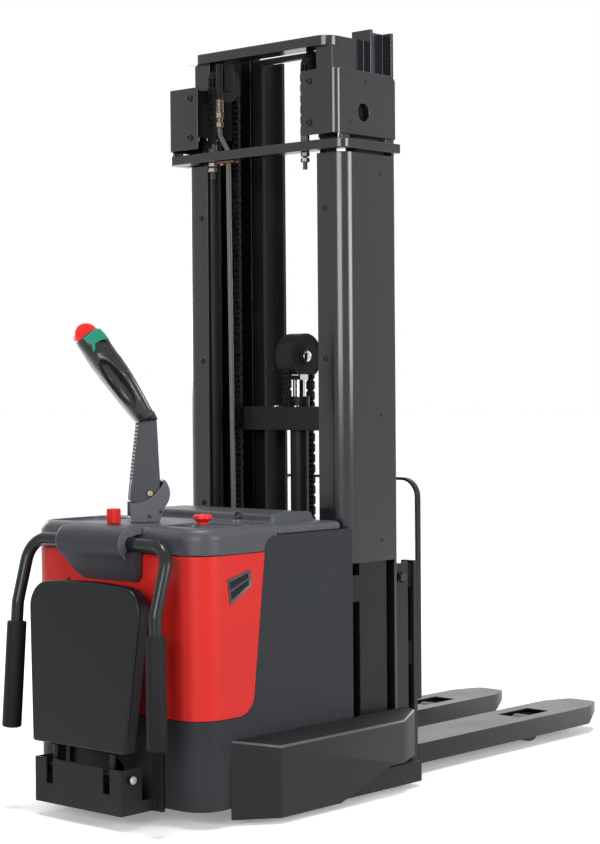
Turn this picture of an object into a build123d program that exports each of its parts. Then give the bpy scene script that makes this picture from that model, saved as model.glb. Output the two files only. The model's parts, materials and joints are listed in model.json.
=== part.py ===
from build123d import *
import os
from math import hypot, sqrt

# Electric stacker with a three-stage mast, millimetres.
# +X is the truck's right, +Y points to the fork tips, +Z is up, the floor is z = 0.

# Forks and support legs
TIP_Y = 1060.0
FORK_SPREAD = 570.0
FORK_W = 185.0
FORK_TOP = 90.0
FORK_H = 60.0
FORK_PLATE = 8.0
FORK_TAPER = 102.0
FORK_TIP_W = 104.0
FORK_TIP_ROUND = 34.0
FORK_TIP_RISE = 33.0
WINDOW_W = 86.0
WINDOW_L = 163.0
LOAD_WHEEL_Y = 711.0
LOAD_WHEEL_R = 42.0
LOAD_WHEEL_W = 70.0
LOAD_AXLE_R = 10.0
LEG_PLATE = 6.0
LEG_GAP = 6.0
LEG_TIP_GAP = 70.0
LEG_REAR_Y = -330.0

# Mast rails
COVER_HALF = 320.0
COVER_T = 4.0
RAIL_WEB = 8.0
RAIL_FLANGE = 12.0
OUTER_REAR = -254.0
OUTER_DEPTH = 120.0
OUTER_FLANGE_W = 42.0
OUTER_TOP = 2045.0
MID_TIP_GAP = 6.0
MID_FLANGE_W = 72.0
MID_DEPTH = 104.0
MID_NEST = 38.0
MID_TOP = 2186.0
STAGE_GAP = 4.0
INNER_FLANGE_W = 40.0
INNER_DEPTH = 104.0
INNER_NEST = 40.0
INNER_TOP = 2162.0
RAIL_BOTTOM = 92.0
ROLLER_Z = 152.0
ROLLER_W = 28.0
ROLLER_GAP = 0.5
STUB_R = 14.0
FIT = 0.05
SEAT_GAP = 0.3

# Mast lengthwise plates, covers and ties
COVER_REAR = -316.0
COVER_FRONT = -92.0
COVER_IN = 219.0
COVER_R = 48.0
COVER_Z = (655.0, 1825.0)
TOP_PLATE_HALF = 352.0
TOP_PLATE_REAR = -358.0
TOP_PLATE_FRONT = -100.0
TOP_PLATE_BAR = 48.0
TOP_PLATE_R = 34.0
TOP_PLATE_Z = (1830.0, 1857.0)
CAP_HALF = 338.0
CAP_REAR = -369.0
CAP_FRONT = -105.0
CAP_IN = 206.0
CAP_T = 6.0
CAP_R = 23.0
CAP_Z = (1870.0, 2053.0)
CAP_CHAMFER = 14.0
CAP_SHIELD_X = (212.5, 215.0)
CAP_SHIELD_FRONT = -180.0
REAR_SCREWS_Z = (1667.0, 1238.0, 812.0)
REAR_SCREW_R = 8.0
SIDE_SCREWS_Z = (1770.0, 1075.0, 715.0)
SIDE_SCREW_Y = -155.0
SIDE_SCREW_R = 5.0
CAP_SCREWS_Z = (2022.0, 1905.0)
CAP_SCREW_X = 238.0
CAP_SCREW_R = 10.0
CAP_SIDE_SCREWS = ((-235.0, 2025.0), (-304.0, 1905.0))
SCREW_HEAD = 0.6
EYE_R = 25.0
EYE_Y = -248.0
EYE_Z = 1936.0
MID_PLATE_HALF = 275.0
MID_PLATE_REAR = -329.0
MID_PLATE_BAR = 62.0
MID_PLATE_R = 45.0
MID_PLATE_Z = (2128.0, 2157.0)
TIE_T = 12.0
TIE_H = 76.0
OUTER_TIE_REAR = -318.0
OUTER_TIES_Z = (100.0, 545.0)
MID_TIE_REAR = -250.0
MID_TIE_T = 10.0
CROSS_Y = (-215.0, -126.0)
CROSS_Z = (1030.0, 1100.0)
INNER_TIE_H = 62.0
INNER_CAP_T = 15.0

# Side lift cylinders, chains and sheaves
SIDE_CYL_X = 232.0
SIDE_CYL_Y = -280.0
SIDE_CYL_R = 24.0
SIDE_CYL_TOP = 1900.0
SIDE_ROD_R = 16.0
GLAND_R = 28.0
GLAND_STEP = 5.0
GLAND_H = 30.0
ROD_GAP = 0.4
CHAIN_X = 185.0
CHAIN_W = 26.0
CHAIN_T = 12.0
SHEAVE_Y = -276.0
SHEAVE_DROP = 62.0
SHEAVE_R = 45.0
SHEAVE_W = 28.0
SHEAVE_PIN_R = 10.0
CHEEK_T = 6.0
CHEEK_GAP = 2.0
CHAIN_LUG_Z = (186.0, 225.0)
ANCHOR_R = 7.0
ANCHOR_LOW = 1780.0
ANCHOR_EYE_TOP = 1884.0
NUT_R = 13.0

# Free-lift cylinder, ram and sheave
FREE_Y = -156.0
FREE_CYL_R = 27.0
RAM_R = 18.0
RAM_SHEAVE_Z = 1250.0
RAM_SHEAVE_R = 46.0
GUARD_R = 68.0
GUARD_W = 64.0
GUARD_T = 3.0
GUARD_TAIL = 0.92
GUARD_DROP = 54.0
HUB_R = 16.0
HUB_HOLE_R = 10.0
YOKE_T = 6.0
YOKE_GAP = 1.0

# Fork carriage and load backrest
COLUMN_TOP = 640.0
COLUMN_SLOPE = 9.0
COLUMN_IN = 236.0
COLUMN_T = 10.0
COLUMN_SIDE = 67.0
COLUMN_GAP = 5.0
UPRIGHT_Y = (30.0, 47.0)
CROSSBAR_T = 22.0
CROSSBAR_H = 70.0
CROSSBARS_Z = (98.0, 330.0, 560.0)
COLUMN_LOW = 42.0
SIDE_PLATE_T = 12.0
CHAIN_SHELF_Z = (98.0, 150.0)
CHAIN_SHELF_W = 80.0
REST_BAR_T = 8.0
REST_BAR_D = 20.0
REST_TOP = 885.0
REST_LOW = 225.0
REST_BEND = 55.0
REST_LUGS_Z = (262.0, 575.0)
REST_LUG_H = 44.0
REST_LUG_W = 26.0
REST_BOLT_R = 9.0

# Chassis
BASE_Z = (15.0, 76.0)
BASE_HALF = 400.0
BASE_IN = 292.0
BASE_FRONT = -80.0
BASE_BEAM_Y = (-405.0, -262.0)
DECK_Z = (150.0, 164.0)
BULKHEAD_Y = (-357.0, -345.0)
BULKHEAD_TOP = 752.0
STEER_Y = -780.0
STEER_HOLE_R = 125.0
STEER_RING = 6.0
STEER_RING_T = 10.0

# Body housing and covers
BODY_HALF = 340.0
BODY_REAR = -920.0
BODY_FRONT = -312.0
BODY_R = 80.0
BODY_T = 6.0
BODY_LOW = 45.0
SIDE_LOW = 168.0
BODY_SIDE_TOP = 759.0
SEAM_Y = -622.0
SEAM = 1.0
RED_Z = (284.0, 716.0)
RED_FRONT = (-725.0, -674.0)
RED_LOW_R = 60.0
COVER_TOP = 790.0
COVER_EDGE_R = 30.0
TRAY_X = (140.0, 312.0)
TRAY_Y = (-872.0, -690.0)
TRAY_FLOOR = 780.0
TRAY_R = 24.0
LID_FRONT = -362.0
LID_TOP = 783.0
LID_HUMP_TOP = 808.0
LID_HUMP_HALF = 258.0
LID_HUMP_Y = (-556.0, -384.0)
LID_HINGE_R = 6.0
LID_HINGE_DROP = 8.0
LID_HINGE_X = (170.0, 230.0)
VENT = ((-820.0, 652.0), (-733.0, 673.0), (-728.0, 631.0), (-811.0, 584.0))
VENT_DEPTH = 3.0
SKIRT_REACH = 85.0
SKIRT_T = 5.0
SKIRT_Y = (-815.0, -75.0)
SKIRT_REAR_CUT = 107.0
SKIRT_FRONT_CUT = (54.0, 113.0)
SKIRT_TOP = (207.0, 226.0)
SKIRT_SWEEP_Y = (-465.0, -250.0)
SKIRT_SWEEP_Z = 86.0

# Battery and pump inside the body
BATTERY_HALF = 300.0
BATTERY_GAP = 10.0
BATTERY_TOP = 699.0
PUMP_X = (-300.0, -150.0)
PUMP_Y = (-880.0, -680.0)
PUMP_TANK_TOP = 380.0
PUMP_R = 58.0
PUMP_TOP = 560.0
PUMP_CORNER = 20.0

# Wheels
DRIVE_R = 105.0
DRIVE_W = 70.0
DRIVE_EDGE = 6.0
DRIVE_AXLE_R = 18.0
MOTOR_R = 72.0
MOTOR_TOP = 430.0
GEARBOX_W = 46.0
GEARBOX_R = 52.0
CASTOR_X = 312.0
CASTOR_Y = -520.0
CASTOR_R = 62.5
CASTOR_W = 50.0
CASTOR_TRAIL = 35.0
CASTOR_PLATE_T = 8.0
CASTOR_AXLE_R = 8.0
CASTOR_LUG = 14.0
CASTOR_CHEEK_Y = (-40.0, 24.0)

# Tiller, with reaches measured rearward from the steering axis
STEER_TURN = 36.0
TILLER_BASE_HALF = 40.0
TILLER_ARM_HALF = 31.0
TILLER_PIVOT_Z = 869.0
TILLER_PIN_R = 8.0
TILLER_GAP = 1.5
CUP_R = 55.0
CUP_REAR = 54.5
CUP_NOSE = 25.0
CUP_CUT_R = 90.0
CUP_CUT_AT = (46.3, 65.7)
CUP_BACK_H = 16.0
CHEEK_R = 22.0
CHEEK_IN = 17.0
ARM_TOP_Z = 1071.0
ARM_TOP = (29.0, -21.0)
ARM_LOW = (49.0, -29.0)
ARM_LOW_Z = 900.0
ARM_HEEL = (54.0, 850.0)
ARM_FOOT = 34.0
ARM_TOE = 20.0
HEAD_TIP = (168.0, 1303.0)
HEAD_PLAN = (31.0, 80.0, 42.0)
HEAD_SIDE = (22.0, 37.0, 34.0)
HEAD_SPINE = 26.0
HEAD_SLOT = (32.0, 130.0)
HEAD_SLOT_AT = 140.0
HEAD_UNDER = 8.0
BELLY_R = 38.5
BELLY_L = 36.0
BELLY_HALF = 30.5
BELLY_TRAVEL = 6.0
BELLY_GAP = 0.5
SWITCH_BACK = 20.0
SWITCH_UP = 10.0
SWITCH_R = 7.0
SWITCH_FACE = 48.0
SWITCH_ROOM = 58.0
SWITCH_T = 9.0
SWITCH_WING = ((-27.0, 21.0), (18.0, 23.0), (28.0, 15.0), (30.0, -20.0), (12.0, -11.0), (-8.0, -10.0),
               (-19.0, -28.0), (-26.0, -25.0), (-16.0, -4.0))
STEER_SHAFT_R = 18.0

# Controls on the top cover
ESTOP_AT = (212.0, -782.0)
ESTOP_R = 26.0
ESTOP_NECK_R = 15.5
ESTOP_COLLAR = 12.0
ESTOP_TRAVEL = 8.0
ESTOP_H = 38.0
KEY_AT = (214.0, -646.0)
KEY_R = 14.0
PULL_AT = (-8.0, -903.0)
PULL_SIZE = 30.0
PULL_H = 41.0
PULL_STEM_R = 10.0

# Arm holder, side arms and platform
HOLDER_HALF = 125.0
HOLDER_Y = -968.0
HOLDER_R = 44.0
HOLDER_ROUND = 35.0
HOLDER_POCKET = (30.0, 22.0)
ARM_TUBE_R = 17.3
ARM_TUBE_IN = 65.0
ARM_ELBOW_X = 276.0
ARM_KNEE = (274.0, -1020.0, 570.0)
ARM_END = (290.0, -1033.2, 224.0)
ARM_BEND = 62.0
GRIP_R = 27.0
GRIP_L = 294.0
GRIP_ROUND = 6.0
HINGE_HALF = 171.0
HINGE_REAR = -1051.0
HINGE_Z = (38.0, 160.0)
HINGE_T = 8.0
HINGE_NOTCH_Y = (-975.0, -932.0)
HINGE_NOTCH_Z = 70.0
FLANGE_HALF = 201.0
FLANGE_T = 12.0
FLANGE_Z = (36.0, 187.0)
HINGE_PIN = (-1016.0, 132.0)
HINGE_PIN_R = 9.0
SLOT_X = (100.0, 126.0)
SLOT_LOW = 92.0
PLATFORM_Z = (198.0, 628.0)
PLATFORM_CROWN = 14.0
PLATFORM_LEAN = 3.5
PLATFORM_REAR = -1054.0
PLATFORM_T = 44.0
PLATFORM_LOW_HALF = 184.0
PLATFORM_HALF = 225.0
PLATFORM_ROUND = 70.0
HINGE_ARM_W = 20.0
HINGE_ARM_R = 19.0

# Hydraulic pipe and hose
PIPE_R = 7.0
PIPE_HOLE_GAP = 3.0
PIPE_Y = -332.0
PIPE_LOW = (-104.0, 600.0)
PIPE_PLATE_X = -116.0
PIPE_TOP = (-150.0, 1932.0)
FITTING_R = 12.0
FITTING_TOP = 2012.0
HOSE_R = 9.0

# Worked-out places
FORK_OUT = FORK_SPREAD / 2
FORK_IN = FORK_OUT - FORK_W
FORK_MID = FORK_OUT - FORK_W / 2
FORK_LOW = FORK_TOP - FORK_H
FORK_REAR = UPRIGHT_Y[1]
LEG_TOP = FORK_TOP - FORK_PLATE - LEG_GAP
LEG_X = (FORK_IN + FORK_PLATE + LEG_GAP, FORK_OUT - COLUMN_T - LEG_GAP)
OUTER_OUT = COVER_HALF - COVER_T
OUTER_IN = OUTER_OUT - OUTER_FLANGE_W
OUTER_FRONT = OUTER_REAR + OUTER_DEPTH
MID_OUT = OUTER_OUT - RAIL_WEB - MID_TIP_GAP
MID_IN = MID_OUT - MID_FLANGE_W
MID_WEB = ((MID_OUT + MID_IN - RAIL_WEB) / 2, (MID_OUT + MID_IN + RAIL_WEB) / 2)
MID_REAR = OUTER_FRONT - MID_NEST
MID_FRONT = MID_REAR + MID_DEPTH
INNER_OUT = MID_IN - STAGE_GAP
INNER_IN = INNER_OUT - INNER_FLANGE_W
INNER_REAR = MID_FRONT - INNER_NEST
INNER_FRONT = INNER_REAR + INNER_DEPTH
COLUMN_REAR = MID_FRONT + COLUMN_GAP
CROSSBAR_Y = (UPRIGHT_Y[0] - CROSSBAR_T, UPRIGHT_Y[0])
SIDE_PLATE_X = (INNER_IN - STAGE_GAP - SIDE_PLATE_T, INNER_IN - STAGE_GAP)
CHAIN_RUN = SHEAVE_R + CHAIN_T / 2
FREE_RUN = RAM_SHEAVE_R + CHAIN_T / 2
REST_HALF = FORK_OUT
STEER_TOP = COVER_TOP + SEAT_GAP
SHEAVE_Z = MID_PLATE_Z[0] - SHEAVE_DROP
SKIRT_HALF = BODY_HALF + SKIRT_REACH
HOLDER_Z = COVER_TOP - HOLDER_R
CROSS_HALF = MID_PLATE_HALF - MID_PLATE_BAR - STAGE_GAP


def block(x, y, z):
    size = [high - low for low, high in (x, y, z)]
    centre = [(high + low) / 2 for low, high in (x, y, z)]
    return Pos(*centre) * Box(*size)


def rod_x(x, y, z, radius):
    return Pos((x[0] + x[1]) / 2, y, z) * Rot(0, 90, 0) * Cylinder(radius, x[1] - x[0])


def rod_y(x, y, z, radius):
    return Pos(x, (y[0] + y[1]) / 2, z) * Rot(90, 0, 0) * Cylinder(radius, y[1] - y[0])


def rod_z(x, y, z, radius):
    return Pos(x, y, (z[0] + z[1]) / 2) * Cylinder(radius, z[1] - z[0])


def plan_prism(points, z):
    return Pos(0, 0, z[0]) * extrude(Polygon(*points, align=None), z[1] - z[0], dir=(0, 0, 1))


def side_prism(points, x):
    return extrude(Plane.YZ.offset(x[0]) * Polygon(*points, align=None), x[1] - x[0], dir=(1, 0, 0))


def front_prism(points, y):
    return extrude(Plane.XZ.offset(-y[0]) * Polygon(*points, align=None), y[1] - y[0], dir=(0, 1, 0))


def mirrored(part):
    return mirror(part, about=Plane.YZ)


def pair(part):
    return [part, mirrored(part)]


def rear_rounded(half, y, z, radius):
    body = block((-half, half), y, z)
    return fillet(body.edges().filter_by(Axis.Z).sort_by(Axis.Y)[:2], radius)


def wheel(x, y, z, radius, width, bore, edge):
    tyre = rod_x((x - width / 2, x + width / 2), y, z, radius)
    tyre = chamfer(tyre.edges().filter_by(GeomType.CIRCLE), edge)
    return tyre - rod_x((x - width, x + width), y, z, bore)


def sheave(x, y, z, root, width, bore):
    rim = root + CHAIN_T * 0.7
    half = width / 2
    guide = CHAIN_W / 2
    profile = Polygon(
        (bore, -half), (rim, -half), (rim, -guide - ROLLER_GAP), (root, -guide - ROLLER_GAP),
        (root, guide + ROLLER_GAP), (rim, guide + ROLLER_GAP), (rim, half), (bore, half), align=None)
    return Pos(x, y, z) * Rot(0, 90, 0) * revolve(Plane.XZ * profile, Axis.Z)


# Fork carriage
def fork_plan(inset, front):
    half = FORK_W / 2 - inset
    tip = FORK_TIP_W / 2 - inset
    outline = [
        (FORK_MID - half, FORK_REAR), (FORK_MID + half, FORK_REAR), (FORK_MID + half, TIP_Y - FORK_TAPER),
        (FORK_MID + tip, front), (FORK_MID - tip, front), (FORK_MID - half, TIP_Y - FORK_TAPER)]
    return outline


def make_fork():
    body = plan_prism(fork_plan(0, TIP_Y), (FORK_LOW, FORK_TOP))
    corners = body.edges().filter_by(Axis.Z).sort_by(Axis.Y)
    body = fillet(corners[-2:], FORK_TIP_ROUND)
    hollow = plan_prism(fork_plan(FORK_PLATE, TIP_Y - FORK_TIP_ROUND), (0, FORK_TOP - FORK_PLATE))
    hollow -= block((0, FORK_SPREAD), (FORK_REAR - FORK_PLATE, FORK_REAR), (0, FORK_TOP))
    window_y = (LOAD_WHEEL_Y - WINDOW_L / 2, LOAD_WHEEL_Y + WINDOW_L / 2)
    window = block((FORK_MID - WINDOW_W / 2, FORK_MID + WINDOW_W / 2), window_y, (0, FORK_TOP + 1))
    rise = side_prism(
        [(TIP_Y - FORK_TAPER, FORK_LOW), (TIP_Y, FORK_LOW + FORK_TIP_RISE), (TIP_Y + 1, FORK_LOW)],
        (0, FORK_SPREAD))
    return body - hollow - window - rise


def make_carriage_frame():
    low = FORK_TOP + COLUMN_GAP
    side_y = (COLUMN_REAR, COLUMN_REAR + COLUMN_SIDE)
    side = side_prism(
        [(side_y[0], COLUMN_LOW), (side_y[1], COLUMN_LOW), (side_y[1], COLUMN_TOP),
         (side_y[0], COLUMN_TOP - COLUMN_SLOPE)],
        (FORK_OUT - COLUMN_T, FORK_OUT))
    rear = block((COLUMN_IN, FORK_OUT), (side_y[0], side_y[0] + COLUMN_T), (low, COLUMN_TOP - COLUMN_SLOPE))
    foot = block((FORK_OUT - COLUMN_T, FORK_OUT), (side_y[1], UPRIGHT_Y[1]), (COLUMN_LOW, low))
    upright = block((COLUMN_IN, FORK_OUT), UPRIGHT_Y, (low, COLUMN_TOP))
    heel = block((FORK_IN, FORK_OUT), UPRIGHT_Y, (FORK_TOP - FORK_PLATE, low + CROSSBAR_H))
    web = block((COLUMN_IN, COLUMN_IN + COLUMN_T), (side_y[0], UPRIGHT_Y[0]),
                (CROSSBARS_Z[0], CROSSBARS_Z[0] + CROSSBAR_H))
    web -= block((0, INNER_OUT + STAGE_GAP), (side_y[0], UPRIGHT_Y[0]), (0, COLUMN_TOP))
    plate = block(SIDE_PLATE_X, (INNER_REAR + RAIL_FLANGE, CROSSBAR_Y[0]),
                  (CROSSBARS_Z[0], CROSSBARS_Z[2] + CROSSBAR_H))
    stub_x = (SIDE_PLATE_X[1], INNER_OUT - RAIL_WEB - ROLLER_GAP)
    stub = rod_x(stub_x, (INNER_REAR + INNER_FRONT) / 2, ROLLER_Z, STUB_R)
    half = side + rear + foot + upright + heel + web + plate + stub
    for z in CROSSBARS_Z:
        half += block((COLUMN_IN, FORK_OUT - COLUMN_T), (side_y[1] - COLUMN_T, UPRIGHT_Y[0]), (z, z + CROSSBAR_H))
    frame = half + mirrored(half)
    for z in CROSSBARS_Z:
        frame += block((-FORK_OUT + COLUMN_T, FORK_OUT - COLUMN_T), CROSSBAR_Y, (z, z + CROSSBAR_H))
    shelf_y = (FREE_Y + FREE_RUN - CHAIN_T, CROSSBAR_Y[0])
    return frame + block((-CHAIN_SHELF_W / 2, CHAIN_SHELF_W / 2), shelf_y, CHAIN_SHELF_Z)


def make_backrest():
    path = FilletPolyline(
        (REST_HALF - REST_BAR_T / 2, 0, REST_LOW), (REST_HALF - REST_BAR_T / 2, 0, REST_TOP - REST_BAR_T / 2),
        (-REST_HALF + REST_BAR_T / 2, 0, REST_TOP - REST_BAR_T / 2), (-REST_HALF + REST_BAR_T / 2, 0, REST_LOW),
        radius=REST_BEND)
    path = Pos(0, UPRIGHT_Y[1] + REST_BAR_D / 2, 0) * path
    section = Plane(origin=path @ 0, z_dir=path % 0, x_dir=(1, 0, 0)) * Rectangle(REST_BAR_T, REST_BAR_D)
    frame = sweep(section, path=path)
    for z in REST_LUGS_Z:
        lug = block((REST_HALF - REST_BAR_T - REST_LUG_W, REST_HALF - REST_BAR_T),
                    (UPRIGHT_Y[1], UPRIGHT_Y[1] + REST_BAR_T), (z, z + REST_LUG_H))
        bolt_y = (UPRIGHT_Y[1] + REST_BAR_T, UPRIGHT_Y[1] + REST_BAR_T + REST_BOLT_R)
        lug += rod_y(REST_HALF - REST_BAR_T - REST_LUG_W / 2, bolt_y, z + REST_LUG_H / 2, REST_BOLT_R)
        frame += pair(lug)
    return frame


def make_carriage_rollers():
    gap = INNER_DEPTH - 2 * RAIL_FLANGE
    x = INNER_OUT - RAIL_WEB - 2 * ROLLER_GAP - ROLLER_W / 2
    y = (INNER_REAR + INNER_FRONT) / 2
    return pair(wheel(x, y, ROLLER_Z, gap / 2 - ROLLER_GAP, ROLLER_W, STUB_R + FIT, 2))


# Support legs and load wheels
def make_leg():
    x = LEG_X
    tip_y = TIP_Y - LEG_TIP_GAP
    tip_half = FORK_TIP_W / 2
    taper_y = TIP_Y - FORK_TAPER - LEG_GAP
    outline = [(x[0], LEG_REAR_Y), (x[1], LEG_REAR_Y), (x[1], taper_y), (FORK_MID + tip_half, tip_y),
               (FORK_MID - tip_half, tip_y), (x[0], taper_y)]
    body = plan_prism(outline, (FORK_LOW + LEG_GAP, LEG_TOP))
    rise = side_prism(
        [(taper_y, 0), (taper_y, FORK_LOW + LEG_GAP), (tip_y, FORK_LOW + FORK_TIP_RISE), (tip_y, 0)],
        (0, FORK_SPREAD))
    body -= rise
    hollow_y = (BASE_FRONT, taper_y - LEG_GAP)
    hollow = block((x[0] + LEG_PLATE, x[1] - LEG_PLATE), hollow_y, (0, LEG_TOP - LEG_PLATE))
    pocket_y = (LOAD_WHEEL_Y - WINDOW_L / 2 + LEG_GAP, LOAD_WHEEL_Y + WINDOW_L / 2 - LEG_GAP)
    pocket = block((FORK_MID - WINDOW_W / 2, FORK_MID + WINDOW_W / 2), pocket_y, (0, FORK_TOP))
    body -= hollow
    cheek_x = (FORK_MID + WINDOW_W / 2, FORK_MID + WINDOW_W / 2 + LEG_PLATE)
    for low, high in (cheek_x, (2 * FORK_MID - cheek_x[1], 2 * FORK_MID - cheek_x[0])):
        body += block((low, high), pocket_y, (FORK_LOW + LEG_GAP, LEG_TOP))
    body -= pocket
    axle = rod_x((x[0] + LEG_PLATE / 2, x[1] - LEG_PLATE / 2), LOAD_WHEEL_Y, LOAD_WHEEL_R, LOAD_AXLE_R)
    return body + axle


def make_load_wheel():
    return wheel(FORK_MID, LOAD_WHEEL_Y, LOAD_WHEEL_R, LOAD_WHEEL_R, LOAD_WHEEL_W, LOAD_AXLE_R + FIT, 4)


# Mast stages
def channel(x_web, x_tip, y, z):
    web_in = x_web - RAIL_WEB
    rail = block((web_in, x_web), y, z)
    for low in (y[0], y[1] - RAIL_FLANGE):
        rail += block((x_tip, x_web), (low, low + RAIL_FLANGE), z)
    return rail


def make_outer_mast():
    rail = channel(OUTER_OUT, OUTER_IN, (OUTER_REAR, OUTER_FRONT), (BASE_Z[1], OUTER_TOP))
    mast = rail + mirrored(rail)
    for z in OUTER_TIES_Z:
        span = (z, z + TIE_H)
        mast += block((-OUTER_OUT, OUTER_OUT), (OUTER_TIE_REAR, OUTER_TIE_REAR + TIE_T), span)
        mast += pair(block((OUTER_OUT - TIE_T, OUTER_OUT), (OUTER_TIE_REAR, OUTER_REAR), span))
    return mast


def make_outer_top_plate():
    y = (TOP_PLATE_REAR, TOP_PLATE_FRONT)
    plate = rear_rounded(TOP_PLATE_HALF, y, TOP_PLATE_Z, TOP_PLATE_R)
    mouth_y = (TOP_PLATE_REAR + TOP_PLATE_BAR, TOP_PLATE_FRONT + 1)
    plate -= block((-OUTER_OUT, OUTER_OUT), mouth_y, TOP_PLATE_Z)
    anchor_y = SHEAVE_Y - CHAIN_RUN
    for x in (-CHAIN_X, CHAIN_X):
        plate -= rod_z(x, anchor_y, TOP_PLATE_Z, ANCHOR_R + FIT)
    plate -= rod_z(PIPE_PLATE_X, PIPE_Y, TOP_PLATE_Z, PIPE_R + PIPE_HOLE_GAP)
    spacer_z = (TOP_PLATE_Z[1], CAP_Z[0])
    spacer_x = (OUTER_OUT + TIE_T, CAP_HALF - 1)
    for low in (CAP_REAR + CAP_R, CAP_FRONT - 2 * CAP_R):
        plate += pair(block(spacer_x, (low, low + 1.7 * CAP_R), spacer_z))
    return plate


def bent_cover(half, inner, y, z, radius, wall):
    outer = rear_rounded(half, y, z, radius)
    core = rear_rounded(half - wall, (y[0] + wall, y[1] + wall), z, radius - wall)
    return outer - core - block((-inner, inner), y, z)


def right_side(part):
    return part.solids().sort_by(Axis.X)[-1]


def make_mast_cover():
    cover = bent_cover(COVER_HALF, COVER_IN, (COVER_REAR, COVER_FRONT), COVER_Z, COVER_R, COVER_T)
    lip = block((COVER_IN, COVER_IN + COVER_T), (COVER_REAR, COVER_REAR + 2 * COVER_T), COVER_Z)
    return right_side(cover) + lip


def make_mast_cap():
    cap = bent_cover(CAP_HALF, CAP_IN, (CAP_REAR, CAP_FRONT), CAP_Z, CAP_R, CAP_T)
    cap -= rod_x((0, CAP_HALF + 1), EYE_Y, EYE_Z, EYE_R)
    cut = [(CAP_FRONT - CAP_CHAMFER, CAP_Z[1]), (CAP_FRONT, CAP_Z[1] - CAP_CHAMFER), (CAP_FRONT, CAP_Z[1])]
    lid = block((OUTER_OUT, CAP_HALF - CAP_T), (OUTER_REAR, OUTER_FRONT), (EYE_Z + 2 * EYE_R, OUTER_TOP))
    shield_y = (CAP_REAR + CAP_T / 2, CAP_SHIELD_FRONT)
    shield = block((CAP_IN, CAP_SHIELD_X[1]), (CAP_REAR, CAP_REAR + CAP_T), (SIDE_CYL_TOP + CAP_T, OUTER_TOP))
    shield += block(CAP_SHIELD_X, shield_y, (SIDE_CYL_TOP + CAP_T, OUTER_TOP))
    return right_side(cap - side_prism(cut, (0, CAP_HALF))) + lid + shield


def screw_places():
    rear_x = (COVER_IN + OUTER_IN) / 2
    places = [("rear", rear_x, z, COVER_REAR, REAR_SCREW_R) for z in REAR_SCREWS_Z]
    places += [("side", SIDE_SCREW_Y, z, COVER_HALF, SIDE_SCREW_R) for z in SIDE_SCREWS_Z]
    places += [("rear", CAP_SCREW_X, z, CAP_REAR, CAP_SCREW_R) for z in CAP_SCREWS_Z]
    places += [("side", y, z, CAP_HALF, SIDE_SCREW_R) for y, z in CAP_SIDE_SCREWS]
    return places


def make_cover_screws():
    heads = []
    for facing, along, z, face, radius in screw_places():
        high = SCREW_HEAD * radius
        if facing == "rear":
            head = rod_y(along, (face - high, face), z, radius)
        else:
            head = rod_x((face, face + high), along, z, radius)
        heads += pair(head)
    return heads


def make_mid_mast():
    z = (RAIL_BOTTOM, MID_TOP)
    y = (MID_REAR, MID_FRONT)
    rail = block(MID_WEB, y, z)
    for low in (y[0], y[1] - RAIL_FLANGE):
        rail += block((MID_IN, MID_OUT), (low, low + RAIL_FLANGE), z)
    roller_r = (OUTER_DEPTH - 2 * RAIL_FLANGE) / 2
    trim_z = (RAIL_BOTTOM, ROLLER_Z + roller_r + 2 * ROLLER_GAP)
    rail -= block((MID_WEB[1], MID_OUT), (y[0], y[0] + RAIL_FLANGE), trim_z)
    roller_y = (OUTER_REAR + OUTER_FRONT) / 2
    rail += block(MID_WEB, (roller_y - 2 * STUB_R, y[0]), (RAIL_BOTTOM, ROLLER_Z + 2 * STUB_R))
    rail += rod_x((MID_WEB[1], OUTER_OUT - RAIL_WEB - ROLLER_GAP), roller_y, ROLLER_Z, STUB_R)
    gusset = block((MID_IN, MID_IN + MID_TIE_T), (MID_TIE_REAR, y[0]), (RAIL_BOTTOM, RAIL_BOTTOM + TIE_H))
    bracket_x = (MID_PLATE_HALF - 1.5 * TIE_T, MID_PLATE_HALF)
    bracket_z = (OUTER_TOP + STAGE_GAP, MID_PLATE_Z[0])
    bracket = block(bracket_x, (SIDE_CYL_Y - SIDE_CYL_R, y[0]), bracket_z)
    wall_y = SIDE_CYL_Y - SIDE_CYL_R
    bracket += block((CAP_SHIELD_X[0], MID_PLATE_HALF), (wall_y - CHEEK_T, wall_y), bracket_z)
    bracket += block(CAP_SHIELD_X, (wall_y, y[0]), bracket_z)
    half = rail + gusset + bracket
    for low in (CHAIN_X - SHEAVE_W / 2 - CHEEK_GAP - CHEEK_T, CHAIN_X + SHEAVE_W / 2 + CHEEK_GAP):
        cheek_y = (SHEAVE_Y - 2 * SHEAVE_PIN_R, SHEAVE_Y + 2 * SHEAVE_PIN_R)
        half += block((low, low + CHEEK_T), cheek_y, (SHEAVE_Z - 2 * SHEAVE_PIN_R, MID_PLATE_Z[0]))
    reach = SHEAVE_W / 2 + CHEEK_GAP + CHEEK_T
    half += rod_x((CHAIN_X - reach, CHAIN_X + reach), SHEAVE_Y, SHEAVE_Z, SHEAVE_PIN_R)
    plate = rear_rounded(MID_PLATE_HALF, (MID_PLATE_REAR, MID_REAR), MID_PLATE_Z, MID_PLATE_R)
    mouth_x = MID_PLATE_HALF - MID_PLATE_BAR
    plate -= block((-mouth_x, mouth_x), (MID_PLATE_REAR + MID_PLATE_BAR, MID_REAR), MID_PLATE_Z)
    tie = block((-MID_IN, MID_IN), (MID_TIE_REAR, MID_TIE_REAR + MID_TIE_T), (RAIL_BOTTOM, RAIL_BOTTOM + TIE_H))
    return half + mirrored(half) + plate + tie


def make_mid_rollers():
    radius = (OUTER_DEPTH - 2 * RAIL_FLANGE) / 2 - ROLLER_GAP
    x = OUTER_OUT - RAIL_WEB - 2 * ROLLER_GAP - ROLLER_W / 2
    y = (OUTER_REAR + OUTER_FRONT) / 2
    return pair(wheel(x, y, ROLLER_Z, radius, ROLLER_W, STUB_R + FIT, 2))


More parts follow.
